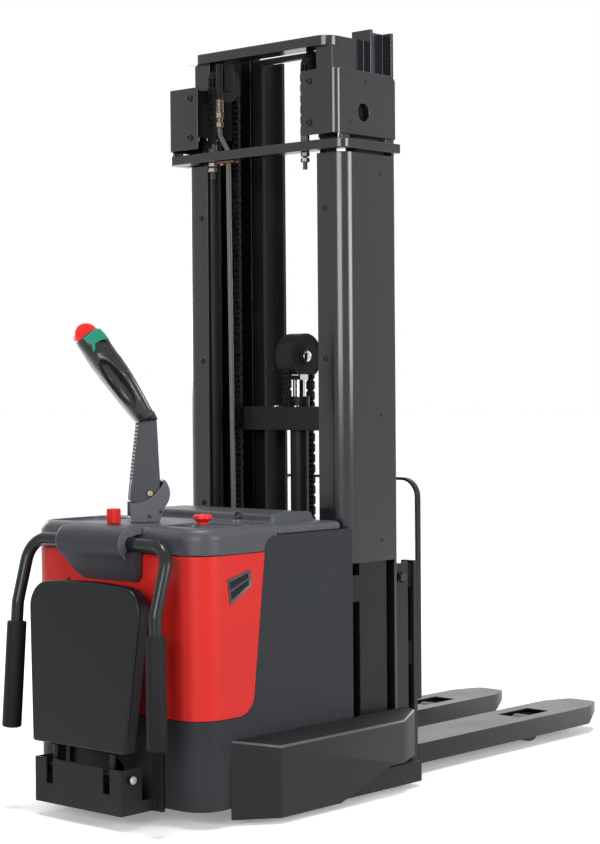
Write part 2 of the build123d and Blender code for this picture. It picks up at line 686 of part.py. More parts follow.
def make_inner_mast():
    z = (RAIL_BOTTOM, INNER_TOP)
    rail = channel(INNER_OUT, INNER_IN, (INNER_REAR, INNER_FRONT), z)
    roller_y = (MID_REAR + MID_FRONT) / 2
    web_x = (INNER_OUT - RAIL_WEB, INNER_OUT)
    rail += block(web_x, (roller_y - 2 * STUB_R, INNER_REAR), (RAIL_BOTTOM, ROLLER_Z + 2 * STUB_R))
    rail += rod_x((INNER_OUT, MID_WEB[0] - ROLLER_GAP), roller_y, ROLLER_Z, STUB_R)
    lug_x = (CHAIN_X - CHAIN_W / 2 - 2, CHAIN_X + CHAIN_W / 2 + 2)
    rail += block(lug_x, (SHEAVE_Y + CHAIN_RUN - CHAIN_T, INNER_REAR), CHAIN_LUG_Z)
    rail += block((INNER_IN, INNER_OUT), (CROSS_Y[1], INNER_REAR), CROSS_Z)
    tie_z = (RAIL_BOTTOM, RAIL_BOTTOM + INNER_TIE_H)
    rail += block((INNER_IN, INNER_OUT), (CROSS_Y[1], INNER_REAR), tie_z)
    mast = rail + mirrored(rail)
    mast += block((-CROSS_HALF, CROSS_HALF), CROSS_Y, CROSS_Z)
    mast += block((-CROSS_HALF, CROSS_HALF), CROSS_Y, tie_z)
    cap_y = (INNER_REAR, INNER_REAR + 2 * RAIL_FLANGE)
    mast += block((-INNER_OUT, INNER_OUT), cap_y, (INNER_TOP - INNER_CAP_T, INNER_TOP))
    return mast - rod_z(0, FREE_Y, CROSS_Z, FREE_CYL_R + FIT)


def make_inner_rollers():
    radius = (MID_DEPTH - 2 * RAIL_FLANGE) / 2 - ROLLER_GAP
    x = MID_WEB[0] - 2 * ROLLER_GAP - ROLLER_W / 2
    y = (MID_REAR + MID_FRONT) / 2
    return pair(wheel(x, y, ROLLER_Z, radius, ROLLER_W, STUB_R + FIT, 2))


# Lift cylinders, rods and chains
def make_side_cylinder():
    tube = rod_z(SIDE_CYL_X, SIDE_CYL_Y, (BASE_Z[1], SIDE_CYL_TOP), SIDE_CYL_R)
    tube += rod_z(SIDE_CYL_X, SIDE_CYL_Y, (SIDE_CYL_TOP - GLAND_H, SIDE_CYL_TOP), GLAND_R)
    bore_z = (BASE_Z[1] + GLAND_H, SIDE_CYL_TOP)
    return tube - rod_z(SIDE_CYL_X, SIDE_CYL_Y, bore_z, SIDE_ROD_R + ROD_GAP)


def make_lift_rod():
    rod_low = BASE_Z[1] + 2 * GLAND_H
    return rod_z(SIDE_CYL_X, SIDE_CYL_Y, (rod_low, MID_PLATE_Z[0]), SIDE_ROD_R)


def make_free_cylinder():
    low = RAIL_BOTTOM + INNER_TIE_H
    tube = rod_z(0, FREE_Y, (low, CROSS_Z[1]), FREE_CYL_R)
    tube += rod_z(0, FREE_Y, (CROSS_Z[1], CROSS_Z[1] + GLAND_H), FREE_CYL_R + GLAND_STEP)
    return tube - rod_z(0, FREE_Y, (low + GLAND_H, CROSS_Z[1] + GLAND_H), RAM_R + ROD_GAP)


def make_ram_head():
    low = RAIL_BOTTOM + INNER_TIE_H + 2 * GLAND_H
    seat_z = RAM_SHEAVE_Z - RAM_SHEAVE_R - CHAIN_T
    ram = rod_z(0, FREE_Y, (low, seat_z), RAM_R)
    reach = SHEAVE_W / 2 + YOKE_GAP + YOKE_T
    ram += block((-reach, reach), (FREE_Y - RAM_R, FREE_Y + RAM_R), (seat_z - 2 * YOKE_T, seat_z))
    for low_x in (-reach, reach - YOKE_T):
        ram += block((low_x, low_x + YOKE_T), (FREE_Y - RAM_R, FREE_Y + RAM_R),
                     (seat_z - 2 * YOKE_T, RAM_SHEAVE_Z + HUB_R))
    axle = rod_x((-GUARD_W / 2 - 2, GUARD_W / 2 + 2), FREE_Y, RAM_SHEAVE_Z, HUB_R)
    ram += axle
    return ram - rod_x((-GUARD_W, GUARD_W), FREE_Y, RAM_SHEAVE_Z, HUB_HOLE_R)


def guard_form(x, radius, drop):
    form = rod_x(x, FREE_Y, RAM_SHEAVE_Z, radius)
    half = GUARD_TAIL * radius
    tail = [(-radius, 0), (radius, 0), (half, drop), (-half, drop)]
    return form + side_prism([(FREE_Y + a, RAM_SHEAVE_Z + b) for a, b in tail], x)


def make_sheave_guard():
    half = GUARD_W / 2
    shell = guard_form((-half, half), GUARD_R, -GUARD_DROP)
    shell -= guard_form((-half + GUARD_T, half - GUARD_T), GUARD_R - GUARD_T, -GUARD_DROP)
    low = RAM_SHEAVE_Z - GUARD_DROP
    shell -= block((-half, half), (FREE_Y - 2 * GUARD_R, FREE_Y + 2 * GUARD_R), (low - 2 * GUARD_R, low))
    return shell - rod_x((-GUARD_W, GUARD_W), FREE_Y, RAM_SHEAVE_Z, HUB_R + FIT)


def chain_strand(x, y, z):
    return block((x - CHAIN_W / 2, x + CHAIN_W / 2), (y - CHAIN_T / 2, y + CHAIN_T / 2), z)


def make_chain_wrap():
    x = (CHAIN_X - CHAIN_W / 2, CHAIN_X + CHAIN_W / 2)
    ring = rod_x(x, SHEAVE_Y, SHEAVE_Z, SHEAVE_R + CHAIN_T) - rod_x(x, SHEAVE_Y, SHEAVE_Z, SHEAVE_R + ROLLER_GAP)
    low = SHEAVE_Z - 2 * SHEAVE_R
    return ring - block(x, (SHEAVE_Y - 2 * SHEAVE_R, SHEAVE_Y + 2 * SHEAVE_R), (low, SHEAVE_Z))


def make_chain_anchor():
    y = SHEAVE_Y - CHAIN_RUN
    bolt = rod_z(CHAIN_X, y, (ANCHOR_LOW, TOP_PLATE_Z[1]), ANCHOR_R)
    for high in (TOP_PLATE_Z[0], TOP_PLATE_Z[0] - 1.2 * NUT_R):
        bolt += Pos(CHAIN_X, y, high - NUT_R) * extrude(RegularPolygon(NUT_R, 6), NUT_R)
    return bolt + block((CHAIN_X - ANCHOR_R, CHAIN_X + ANCHOR_R), (y - ANCHOR_R, y + ANCHOR_R),
                        (TOP_PLATE_Z[1], ANCHOR_EYE_TOP))


# Hydraulic pipe and hose
def make_pipe():
    path = FilletPolyline(
        (PIPE_LOW[0], PIPE_Y, PIPE_LOW[1]), (PIPE_LOW[0], PIPE_Y, PIPE_LOW[1] + 4 * PIPE_R),
        (PIPE_PLATE_X, PIPE_Y, TOP_PLATE_Z[1]),
        (PIPE_TOP[0], PIPE_Y, PIPE_TOP[1] - 2 * FITTING_R), (PIPE_TOP[0], PIPE_Y, PIPE_TOP[1]),
        radius=2 * FITTING_R)
    pipe = sweep(Plane(origin=path @ 0, z_dir=path % 0) * Circle(PIPE_R), path=path)
    fitting_low = PIPE_TOP[1]
    third = (FITTING_TOP - fitting_low) / 3
    pipe += Pos(PIPE_TOP[0], PIPE_Y, fitting_low) * extrude(RegularPolygon(FITTING_R, 6), third)
    pipe += rod_z(PIPE_TOP[0], PIPE_Y, (fitting_low + third, FITTING_TOP), FITTING_R * 0.85)
    return pipe


# Chassis and running gear
def make_chassis():
    frame = block((-BASE_HALF, BASE_HALF), BASE_BEAM_Y, BASE_Z)
    for x in (LEG_X, (-LEG_X[1], -LEG_X[0])):
        frame -= block(x, (LEG_REAR_Y, 0), (FORK_LOW + LEG_GAP, BASE_Z[1] + LEG_GAP))
    frame += pair(block((BASE_IN, BASE_HALF), (BASE_BEAM_Y[1], BASE_FRONT), BASE_Z))
    inner = BODY_HALF - BODY_T
    frame += block((-inner, inner), BULKHEAD_Y, (BASE_Z[0], BULKHEAD_TOP))
    deck_rear = BODY_REAR + BODY_T
    deck = rear_rounded(inner, (deck_rear, BULKHEAD_Y[0]), DECK_Z, BODY_R - BODY_T)
    deck -= rod_z(0, STEER_Y, DECK_Z, STEER_HOLE_R)
    frame += deck
    frame += block((-BODY_HALF + BODY_R, BODY_HALF - BODY_R), (deck_rear, deck_rear + BODY_T),
                   (BODY_LOW + BODY_T, DECK_Z[0]))
    seat_x = PIPE_LOW[0]
    frame += block((seat_x - 2 * PIPE_R, seat_x + 2 * PIPE_R), (BULKHEAD_Y[1], PIPE_Y + 2 * PIPE_R),
                   (PIPE_LOW[1] - 4 * PIPE_R, PIPE_LOW[1]))
    return frame


def make_drive_unit():
    top = 2 * DRIVE_R + 3 * STAGE_GAP
    housing = rod_z(0, STEER_Y, (DECK_Z[0], top), STEER_HOLE_R - STAGE_GAP)
    well = (DRIVE_W / 2 + STAGE_GAP, DRIVE_R + STAGE_GAP)
    ring_low = DECK_Z[1] + SEAT_GAP
    housing += rod_z(0, STEER_Y, (ring_low, ring_low + STEER_RING_T), STEER_HOLE_R + STEER_RING)
    housing -= block((-well[0], well[0]), (STEER_Y - well[1], STEER_Y + well[1]), (0, top - STAGE_GAP))
    motor = rod_z(0, STEER_Y, (top, MOTOR_TOP), MOTOR_R)
    shaft = rod_z(0, STEER_Y, (MOTOR_TOP, STEER_TOP), STEER_SHAFT_R)
    box_x = (well[0], well[0] + GEARBOX_W)
    gearbox = block(box_x, (STEER_Y - GEARBOX_R, STEER_Y + GEARBOX_R), (DRIVE_R - GEARBOX_R, DECK_Z[0]))
    gearbox = fillet(gearbox.edges().filter_by(Axis.X).sort_by(Axis.Z)[:2], GEARBOX_R - 1)
    axle = rod_x((-DRIVE_W / 2, box_x[0]), STEER_Y, DRIVE_R, DRIVE_AXLE_R)
    return housing + motor + shaft + gearbox + axle


def make_castor_fork():
    top = DECK_Z[0] - SEAT_GAP
    plate = rod_z(CASTOR_X, CASTOR_Y, (top - CASTOR_PLATE_T, top), CASTOR_R * 0.72)
    cheek_x = CASTOR_W / 2 + STAGE_GAP / 2
    axle_y = CASTOR_Y - CASTOR_TRAIL
    fork = plate
    for low in (CASTOR_X - cheek_x - CASTOR_PLATE_T, CASTOR_X + cheek_x):
        outline = [(axle_y - CASTOR_LUG, CASTOR_R - CASTOR_LUG), (axle_y + CASTOR_LUG, CASTOR_R - CASTOR_LUG),
                   (CASTOR_Y + CASTOR_CHEEK_Y[1], top - CASTOR_PLATE_T),
                   (CASTOR_Y + CASTOR_CHEEK_Y[0], top - CASTOR_PLATE_T)]
        fork += side_prism(outline, (low, low + CASTOR_PLATE_T))
    return fork + rod_x((CASTOR_X - cheek_x, CASTOR_X + cheek_x), axle_y, CASTOR_R, CASTOR_AXLE_R)


def make_castor_wheel():
    return wheel(CASTOR_X, CASTOR_Y - CASTOR_TRAIL, CASTOR_R, CASTOR_R, CASTOR_W, CASTOR_AXLE_R + FIT, 5)


# Body housing
def body_ring(half_gap, z):
    outer = rear_rounded(BODY_HALF - half_gap, (BODY_REAR + half_gap, BODY_FRONT), z, BODY_R - half_gap)
    inset = half_gap + BODY_T
    core = rear_rounded(BODY_HALF - inset, (BODY_REAR + inset, BODY_FRONT + 1), z, BODY_R - inset)
    return outer - core


def red_region(grow):
    z = (RED_Z[0] - grow, RED_Z[1] + grow)
    y_low, y_high = (y + grow for y in RED_FRONT)
    far = BODY_REAR - 2 * BODY_T
    region = side_prism([(far, z[0]), (y_low, z[0]), (y_high, z[1]), (far, z[1])], (-BODY_HALF, BODY_HALF))
    corner = region.edges().filter_by(Axis.X).sort_by(Axis.Z)[:2].sort_by(Axis.Y)[-1]
    return fillet(corner, RED_LOW_R)


def make_rear_panel():
    panel = body_ring(0, RED_Z) & red_region(0)
    for x in ((BODY_HALF - VENT_DEPTH, BODY_HALF), (-BODY_HALF, -BODY_HALF + VENT_DEPTH)):
        panel -= side_prism(VENT, x)
    return panel


def make_body_shell():
    shell = body_ring(0, (BODY_LOW, BODY_SIDE_TOP)) - red_region(SEAM)
    above = block((-BODY_HALF, BODY_HALF), (BODY_REAR, SEAM_Y + SEAM), (RED_Z[1], BODY_SIDE_TOP))
    under = block((-BODY_HALF, BODY_HALF), (BODY_REAR + BODY_R, BODY_FRONT), (BODY_LOW, SIDE_LOW))
    return shell - above - under


def make_vents():
    slats = side_prism(VENT, (BODY_HALF - VENT_DEPTH, BODY_HALF + 1))
    return pair(slats)


def make_top_cover():
    y = (BODY_REAR, SEAM_Y)
    cover = rear_rounded(BODY_HALF, y, (RED_Z[1] + SEAM, COVER_TOP), BODY_R)
    rim = cover.faces().sort_by(Axis.Z)[-1].edges().sort_by(Axis.Y)[:-1]
    cover = fillet(rim, COVER_EDGE_R)
    core = rear_rounded(BODY_HALF - BODY_T, (BODY_REAR + BODY_T, SEAM_Y), (0, TRAY_FLOOR - BODY_T), BODY_R - BODY_T)
    cover -= core
    tray = block(TRAY_X, TRAY_Y, (TRAY_FLOOR, COVER_TOP))
    tray = fillet(tray.edges().filter_by(Axis.Z), TRAY_R)
    for part in pair(tray):
        cover -= part
    cover -= rod_z(0, STEER_Y, (0, COVER_TOP), STEER_SHAFT_R + STAGE_GAP)
    x, y_stop = ESTOP_AT
    cover += rod_z(x, y_stop, (TRAY_FLOOR, TRAY_FLOOR + ESTOP_COLLAR), ESTOP_R)
    cover -= rod_z(x, y_stop, (0, TRAY_FLOOR + ESTOP_COLLAR), ESTOP_NECK_R + ROD_GAP)
    cover += rod_z(*KEY_AT, (COVER_TOP - BODY_T, COVER_TOP + BODY_T), KEY_R)
    cover -= rod_z(*KEY_AT, (0, COVER_TOP + BODY_T), KEY_R * 0.6)
    shelf_y = (BODY_REAR, BODY_REAR + COVER_EDGE_R)
    cover += block((-HOLDER_HALF, HOLDER_HALF), shelf_y, (COVER_TOP - COVER_EDGE_R, COVER_TOP))
    return cover - rod_z(*PULL_AT, (0, COVER_TOP + 1), PULL_STEM_R + ROD_GAP)


def make_battery_cover():
    y = (SEAM_Y + SEAM, LID_FRONT)
    low = BODY_SIDE_TOP + SEAT_GAP
    lid = block((-BODY_HALF, BODY_HALF), y, (low, LID_TOP))
    lid = fillet(lid.faces().sort_by(Axis.Z)[-1].edges().filter_by(Axis.Y), BODY_T * 3)
    hump = block((-LID_HUMP_HALF, LID_HUMP_HALF), LID_HUMP_Y, (low, LID_HUMP_TOP))
    hump = fillet(hump.faces().sort_by(Axis.Z)[-1].edges(), BODY_T * 2)
    inset = BODY_HALF - 3 * BODY_T
    core = block((-inset, inset), (y[0] + BODY_T, y[1] - BODY_T), (0, LID_TOP - BODY_T))
    barrel = rod_x(LID_HINGE_X, LID_FRONT, LID_TOP - LID_HINGE_DROP, LID_HINGE_R)
    return lid + hump - core + pair(barrel)


def skirt_outline(inset, front):
    cut_x, cut_y = SKIRT_FRONT_CUT
    half = SKIRT_HALF - inset
    rear = SKIRT_Y[0] + inset
    return [(BODY_HALF, rear), (half, rear + SKIRT_REAR_CUT), (half, SKIRT_Y[1] - cut_y),
            (half - cut_x, front), (BODY_HALF, front)]


def make_skirt():
    body = plan_prism(skirt_outline(0, SKIRT_Y[1]), (BASE_Z[0], SKIRT_TOP[1]))
    roof_cut = front_prism(
        [(BODY_HALF, SKIRT_TOP[1]), (SKIRT_HALF, SKIRT_TOP[0]), (SKIRT_HALF, SKIRT_TOP[1])], SKIRT_Y)
    sweep_cut = side_prism(
        [(SKIRT_SWEEP_Y[0], BASE_Z[0]), (SKIRT_SWEEP_Y[1], SKIRT_SWEEP_Z), (SKIRT_Y[1], SKIRT_SWEEP_Z),
         (SKIRT_Y[1], BASE_Z[0])], (BODY_HALF, SKIRT_HALF))
    core = plan_prism(skirt_outline(SKIRT_T, SKIRT_Y[1] - SKIRT_T), (0, SKIRT_TOP[0] - SKIRT_T))
    return body - roof_cut - sweep_cut - core


def make_battery():
    y = (SEAM_Y + 2 * BATTERY_GAP, BULKHEAD_Y[0] - BATTERY_GAP)
    return block((-BATTERY_HALF, BATTERY_HALF), y, (DECK_Z[1], BATTERY_TOP))


def make_pump_unit():
    tank = block(PUMP_X, PUMP_Y, (DECK_Z[1], PUMP_TANK_TOP))
    tank = fillet(tank.edges().filter_by(Axis.Z), PUMP_CORNER)
    return tank + rod_z(sum(PUMP_X) / 2, sum(PUMP_Y) / 2, (PUMP_TANK_TOP, PUMP_TOP), PUMP_R)


# Tiller and controls
def behind(reach):
    return STEER_Y - reach


def steered(shape):
    return Pos(0, STEER_Y, 0) * Rot(0, 0, -STEER_TURN) * Pos(0, -STEER_Y, 0) * shape


def make_steering_column():
    rear, nose = behind(CUP_REAR), behind(-CUP_NOSE)
    x = (-TILLER_BASE_HALF, TILLER_BASE_HALF)
    foot = [(rear, STEER_TOP), (nose, STEER_TOP), (behind(-CUP_R), TILLER_PIVOT_Z), (rear, TILLER_PIVOT_Z)]
    cup = rod_x(x, STEER_Y, TILLER_PIVOT_Z, CUP_R) + side_prism(foot, x)
    cut_reach, cut_up = CUP_CUT_AT
    cup -= rod_x(x, behind(cut_reach), TILLER_PIVOT_Z + cut_up, CUP_CUT_R)
    inner = (-TILLER_ARM_HALF - TILLER_GAP, TILLER_ARM_HALF + TILLER_GAP)
    cup -= rod_x(inner, STEER_Y, TILLER_PIVOT_Z, CUP_R - BODY_T)
    cup -= block(inner, (rear + BODY_T, nose - BODY_T), (STEER_TOP + BODY_T, TILLER_PIVOT_Z))
    cup -= block(inner, (rear - 1, STEER_Y), (STEER_TOP + CUP_BACK_H, ARM_TOP_Z))
    cheek_x = (CHEEK_IN, CHEEK_IN + CHEEK_T)
    cheek_y = (STEER_Y - CHEEK_R, STEER_Y + CHEEK_R)
    cheek = rod_x(cheek_x, STEER_Y, TILLER_PIVOT_Z, CHEEK_R)
    cheek += block(cheek_x, cheek_y, (STEER_TOP, TILLER_PIVOT_Z))
    cup += pair(cheek)
    return cup + rod_x((-TILLER_ARM_HALF, TILLER_ARM_HALF), STEER_Y, TILLER_PIVOT_Z, TILLER_PIN_R)


def make_tiller_arm():
    foot = TILLER_PIVOT_Z - ARM_FOOT
    heel, heel_z = ARM_HEEL
    outline = [(heel, heel_z), (ARM_LOW[0], ARM_LOW_Z), (ARM_TOP[0], ARM_TOP_Z), (ARM_TOP[1], ARM_TOP_Z),
               (ARM_LOW[1], ARM_LOW_Z), (ARM_LOW[1], TILLER_PIVOT_Z), (-ARM_TOE, foot), (ARM_TOE, foot)]
    half = TILLER_ARM_HALF
    arm = side_prism([(behind(reach), z) for reach, z in outline], (-half, half))
    slot_x = (CHEEK_IN - TILLER_GAP, CHEEK_IN + CHEEK_T + TILLER_GAP)
    slot = block(slot_x, (behind(heel), behind(-CUP_R)), (foot, TILLER_PIVOT_Z + CHEEK_R + TILLER_GAP))
    for part in pair(slot):
        arm -= part
    return arm - rod_x((-2 * half, 2 * half), STEER_Y, TILLER_PIVOT_Z, TILLER_PIN_R + FIT)


def head_frame():
    root = (behind(sum(ARM_TOP) / 2), ARM_TOP_Z)
    along = (behind(HEAD_TIP[0]) - root[0], HEAD_TIP[1] - root[1])
    length = hypot(*along)
    up = (0, along[1] / length, -along[0] / length)
    plan = Plane(origin=(0, *root), x_dir=(-1, 0, 0), z_dir=up)
    side = Plane(origin=(0, *root), x_dir=up, z_dir=(1, 0, 0))
    return plan, side, length


def lens(halves, length):
    root, middle, tip = halves
    start = -root
    left = ThreePointArc((-root, start), (-middle, length / 2), (-tip, length))
    right = ThreePointArc((tip, length), (middle, length / 2), (root, start))
    return make_face(left + Line((-tip, length), (tip, length)) + right + Line((root, start), (-root, start)))


def head_box(plan, x, along, up):
    centre = [(low + high) / 2 for low, high in (x, along, up)]
    return plan * Pos(*centre) * Box(*[high - low for low, high in (x, along, up)])


def make_tiller_head():
    plan, side, length = head_frame()
    half, deep = 2 * HEAD_PLAN[1], 2 * HEAD_SIDE[1]
    body = extrude(plan * lens(HEAD_PLAN, length), deep, both=True)
    body &= extrude(side * lens(HEAD_SIDE, length), half, both=True)
    slot_w, slot_l = HEAD_SLOT
    slot = Pos(HEAD_SPINE + slot_w / 2, HEAD_SLOT_AT) * SlotOverall(slot_l, slot_w, rotation=90)
    reach = (HEAD_SLOT_AT - slot_l / 2, HEAD_SLOT_AT + slot_l / 2)
    cuts = [extrude(plan * slot, deep, both=True),
            head_box(plan, (HEAD_SPINE, half), reach, (-deep, -HEAD_UNDER)),
            head_box(plan, (SWITCH_FACE, half), (length - SWITCH_ROOM, length + 1), (-deep, deep))]
    for cut in cuts:
        body -= cut
        body -= mirrored(cut)
    switch = plan * Pos(0, length - SWITCH_BACK, SWITCH_UP)
    body -= switch * Rot(0, 90, 0) * Cylinder(SWITCH_R + FIT, 2 * half)
    socket = (2 * (BELLY_R + BELLY_GAP), 2 * (BELLY_TRAVEL + 2 * SEAM), 2 * (BELLY_HALF + BELLY_GAP))
    body -= plan * Pos(0, length) * Box(*socket)
    return body - block((-half, half), (behind(HEAD_TIP[0]), 0), (0, ARM_TOP_Z))


def dome(half):
    return make_face(ThreePointArc((half, 0), (0, BELLY_L), (-half, 0)) + Line((-half, 0), (half, 0)))


def make_belly_button():
    plan, side, length = head_frame()
    seat = Pos(0, length - SEAM)
    cap = extrude(plan * seat * dome(BELLY_R), 2 * BELLY_HALF, both=True)
    return cap & extrude(side * seat * dome(BELLY_HALF), 2 * BELLY_R, both=True)


def make_butterfly():
    plan, side, length = head_frame()
    switch = Pos(0, length - SWITCH_BACK, SWITCH_UP)
    shaft = plan * switch * Rot(0, 90, 0) * Cylinder(SWITCH_R, 2 * (SWITCH_FACE + SEAM + SWITCH_T / 2))
    place = side * Pos(SWITCH_UP, length - SWITCH_BACK, SWITCH_FACE + SEAM)
    wing = extrude(place * make_face(Polyline(*SWITCH_WING, close=True)), SWITCH_T, dir=(1, 0, 0))
    return shaft + wing + mirrored(wing)


def make_estop():
    x, y = ESTOP_AT
    head_low = TRAY_FLOOR + ESTOP_COLLAR + ESTOP_TRAVEL + SEAM
    stem = rod_z(x, y, (TRAY_FLOOR - BODY_T, head_low), ESTOP_NECK_R)
    head = rod_z(x, y, (head_low, TRAY_FLOOR + ESTOP_H), ESTOP_R)
    head = fillet(head.edges().sort_by(Axis.Z)[-1], ESTOP_TRAVEL)
    return stem + head


def make_key():
    x, y = KEY_AT
    stem = rod_z(x, y, (COVER_TOP - BODY_T, COVER_TOP + 2 * BODY_T), KEY_R * 0.6 - FIT)
    bow = block((x - 2, x + 2), (y - KEY_R * 0.8, y + KEY_R * 0.8), (COVER_TOP + BODY_T + SEAM, COVER_TOP + 5 * BODY_T))
    return stem + bow


def make_pull_handle():
    x, y = PULL_AT
    half = PULL_SIZE / 2
    knob = block((x - half, x + half), (y - half, y + half), (COVER_TOP + SEAM, COVER_TOP + SEAM + PULL_H))
    knob = fillet(knob.edges().filter_by(Axis.Z), 5)
    return knob + rod_z(x, y, (COVER_TOP - 2 * BODY_T, COVER_TOP + SEAM), PULL_STEM_R)


# Side arms and platform
def make_arm_holder():
    x = (-HOLDER_HALF, HOLDER_HALF)
    slope = HOLDER_R * sqrt(0.5)
    low = HOLDER_Z - slope - (BODY_REAR - HOLDER_Y + slope)
    outline = [(HOLDER_Y, COVER_TOP), (HOLDER_Y - slope, HOLDER_Z - slope), (BODY_REAR, low), (BODY_REAR, COVER_TOP)]
    form = block(x, (HOLDER_Y - HOLDER_R, BODY_REAR), (low, COVER_TOP))
    form = fillet(form.edges().filter_by(Axis.Y).sort_by(Axis.Z)[:2], HOLDER_ROUND)
    body = (rod_x(x, HOLDER_Y, HOLDER_Z, HOLDER_R) + side_prism(outline, x)) & form
    depth, room = HOLDER_POCKET
    end_x = (HOLDER_HALF - depth, HOLDER_HALF)
    pocket = rod_x(end_x, HOLDER_Y, HOLDER_Z, room)
    pocket += block(end_x, (HOLDER_Y, BODY_REAR), (HOLDER_Z - room, HOLDER_Z + room))
    pocket += rod_x((ARM_TUBE_IN - FIT, HOLDER_HALF), HOLDER_Y, HOLDER_Z, ARM_TUBE_R + FIT)
    return body - pocket - mirrored(pocket)


def make_side_arm():
    start = (ARM_TUBE_IN, HOLDER_Y, HOLDER_Z)
    elbow = (ARM_ELBOW_X, HOLDER_Y, HOLDER_Z)
    path = FilletPolyline(start, elbow, ARM_KNEE, ARM_END, radius=ARM_BEND)
    tube = sweep(Plane(origin=start, z_dir=(1, 0, 0)) * Circle(ARM_TUBE_R), path=path)
    up = tuple(high - low for low, high in zip(ARM_END, ARM_KNEE))
    grip = Plane(origin=ARM_END, z_dir=up) * Pos(0, 0, GRIP_L / 2) * Cylinder(GRIP_R, GRIP_L)
    grip = fillet(grip.edges().filter_by(GeomType.CIRCLE), GRIP_ROUND)
    return [tube, grip - tube]


def make_platform_bracket():
    x = (-HINGE_HALF, HINGE_HALF)
    rear = block(x, (HINGE_REAR, HINGE_REAR + HINGE_T), HINGE_Z)
    for low, high in (SLOT_X, (-SLOT_X[1], -SLOT_X[0])):
        rear -= block((low, high), (HINGE_REAR, HINGE_REAR + HINGE_T), (SLOT_LOW, HINGE_Z[1]))
    floor = block(x, (HINGE_REAR, BODY_REAR), (HINGE_Z[0], HINGE_Z[0] + HINGE_T))
    side_x = (HINGE_HALF - HINGE_T, HINGE_HALF)
    side = block(side_x, (HINGE_REAR, BODY_REAR), HINGE_Z) - block(side_x, HINGE_NOTCH_Y, (HINGE_NOTCH_Z, HINGE_Z[1]))
    side += block((side_x[0], FLANGE_HALF), (BODY_REAR - FLANGE_T, BODY_REAR), FLANGE_Z)
    bracket = rear + floor + side + mirrored(side)
    return bracket - rod_x((-HINGE_HALF, HINGE_HALF), *HINGE_PIN, HINGE_PIN_R)


def make_platform_pin():
    reach = HINGE_HALF + HINGE_T
    return rod_x((-reach, reach), *HINGE_PIN, HINGE_PIN_R)


def make_platform():
    low, high = PLATFORM_Z
    half, low_half = PLATFORM_HALF, PLATFORM_LOW_HALF
    outline = ThreePointArc((half, high), (0, high + PLATFORM_CROWN), (-half, high))
    outline += Polyline((-half, high), (-low_half, low), (low_half, low), (half, high))
    face = Plane(origin=(0, PLATFORM_REAR, 0), x_dir=(1, 0, 0), z_dir=(0, -1, 0)) * make_face(outline)
    slab = extrude(face, PLATFORM_T, dir=(0, 1, 0))
    slab = fillet(slab.edges().filter_by(Axis.Y).sort_by(Axis.Z)[-2:], PLATFORM_ROUND)
    mid_x = (SLOT_X[0] + SLOT_X[1]) / 2
    arm_x = (mid_x - HINGE_ARM_W / 2, mid_x + HINGE_ARM_W / 2)
    pin_y, pin_z = HINGE_PIN
    arm = block(arm_x, (pin_y - HINGE_ARM_R, pin_y + HINGE_ARM_R), (pin_z, low))
    arm += rod_x(arm_x, pin_y, pin_z, HINGE_ARM_R)
    arm -= rod_x((0, HINGE_HALF), pin_y, pin_z, HINGE_PIN_R + FIT)
    return Pos(0, pin_y, pin_z) * Rot(-PLATFORM_LEAN, 0, 0) * Pos(0, -pin_y, -pin_z) * (slab + pair(arm))


def strands():
    rear_y, front_y = SHEAVE_Y - CHAIN_RUN, SHEAVE_Y + CHAIN_RUN
    free_rear, free_front = FREE_Y - FREE_RUN, FREE_Y + FREE_RUN
    return {
        "side_chains_rear": pair(chain_strand(CHAIN_X, rear_y, (ANCHOR_EYE_TOP, SHEAVE_Z))),
        "side_chains_front": pair(chain_strand(CHAIN_X, front_y, (CHAIN_LUG_Z[1], SHEAVE_Z))),
        "free_chain_rear": chain_strand(0, free_rear, (CROSS_Z[1], RAM_SHEAVE_Z)),
        "free_chain_front": chain_strand(0, free_front, (CHAIN_SHELF_Z[1], RAM_SHEAVE_Z)),
    }


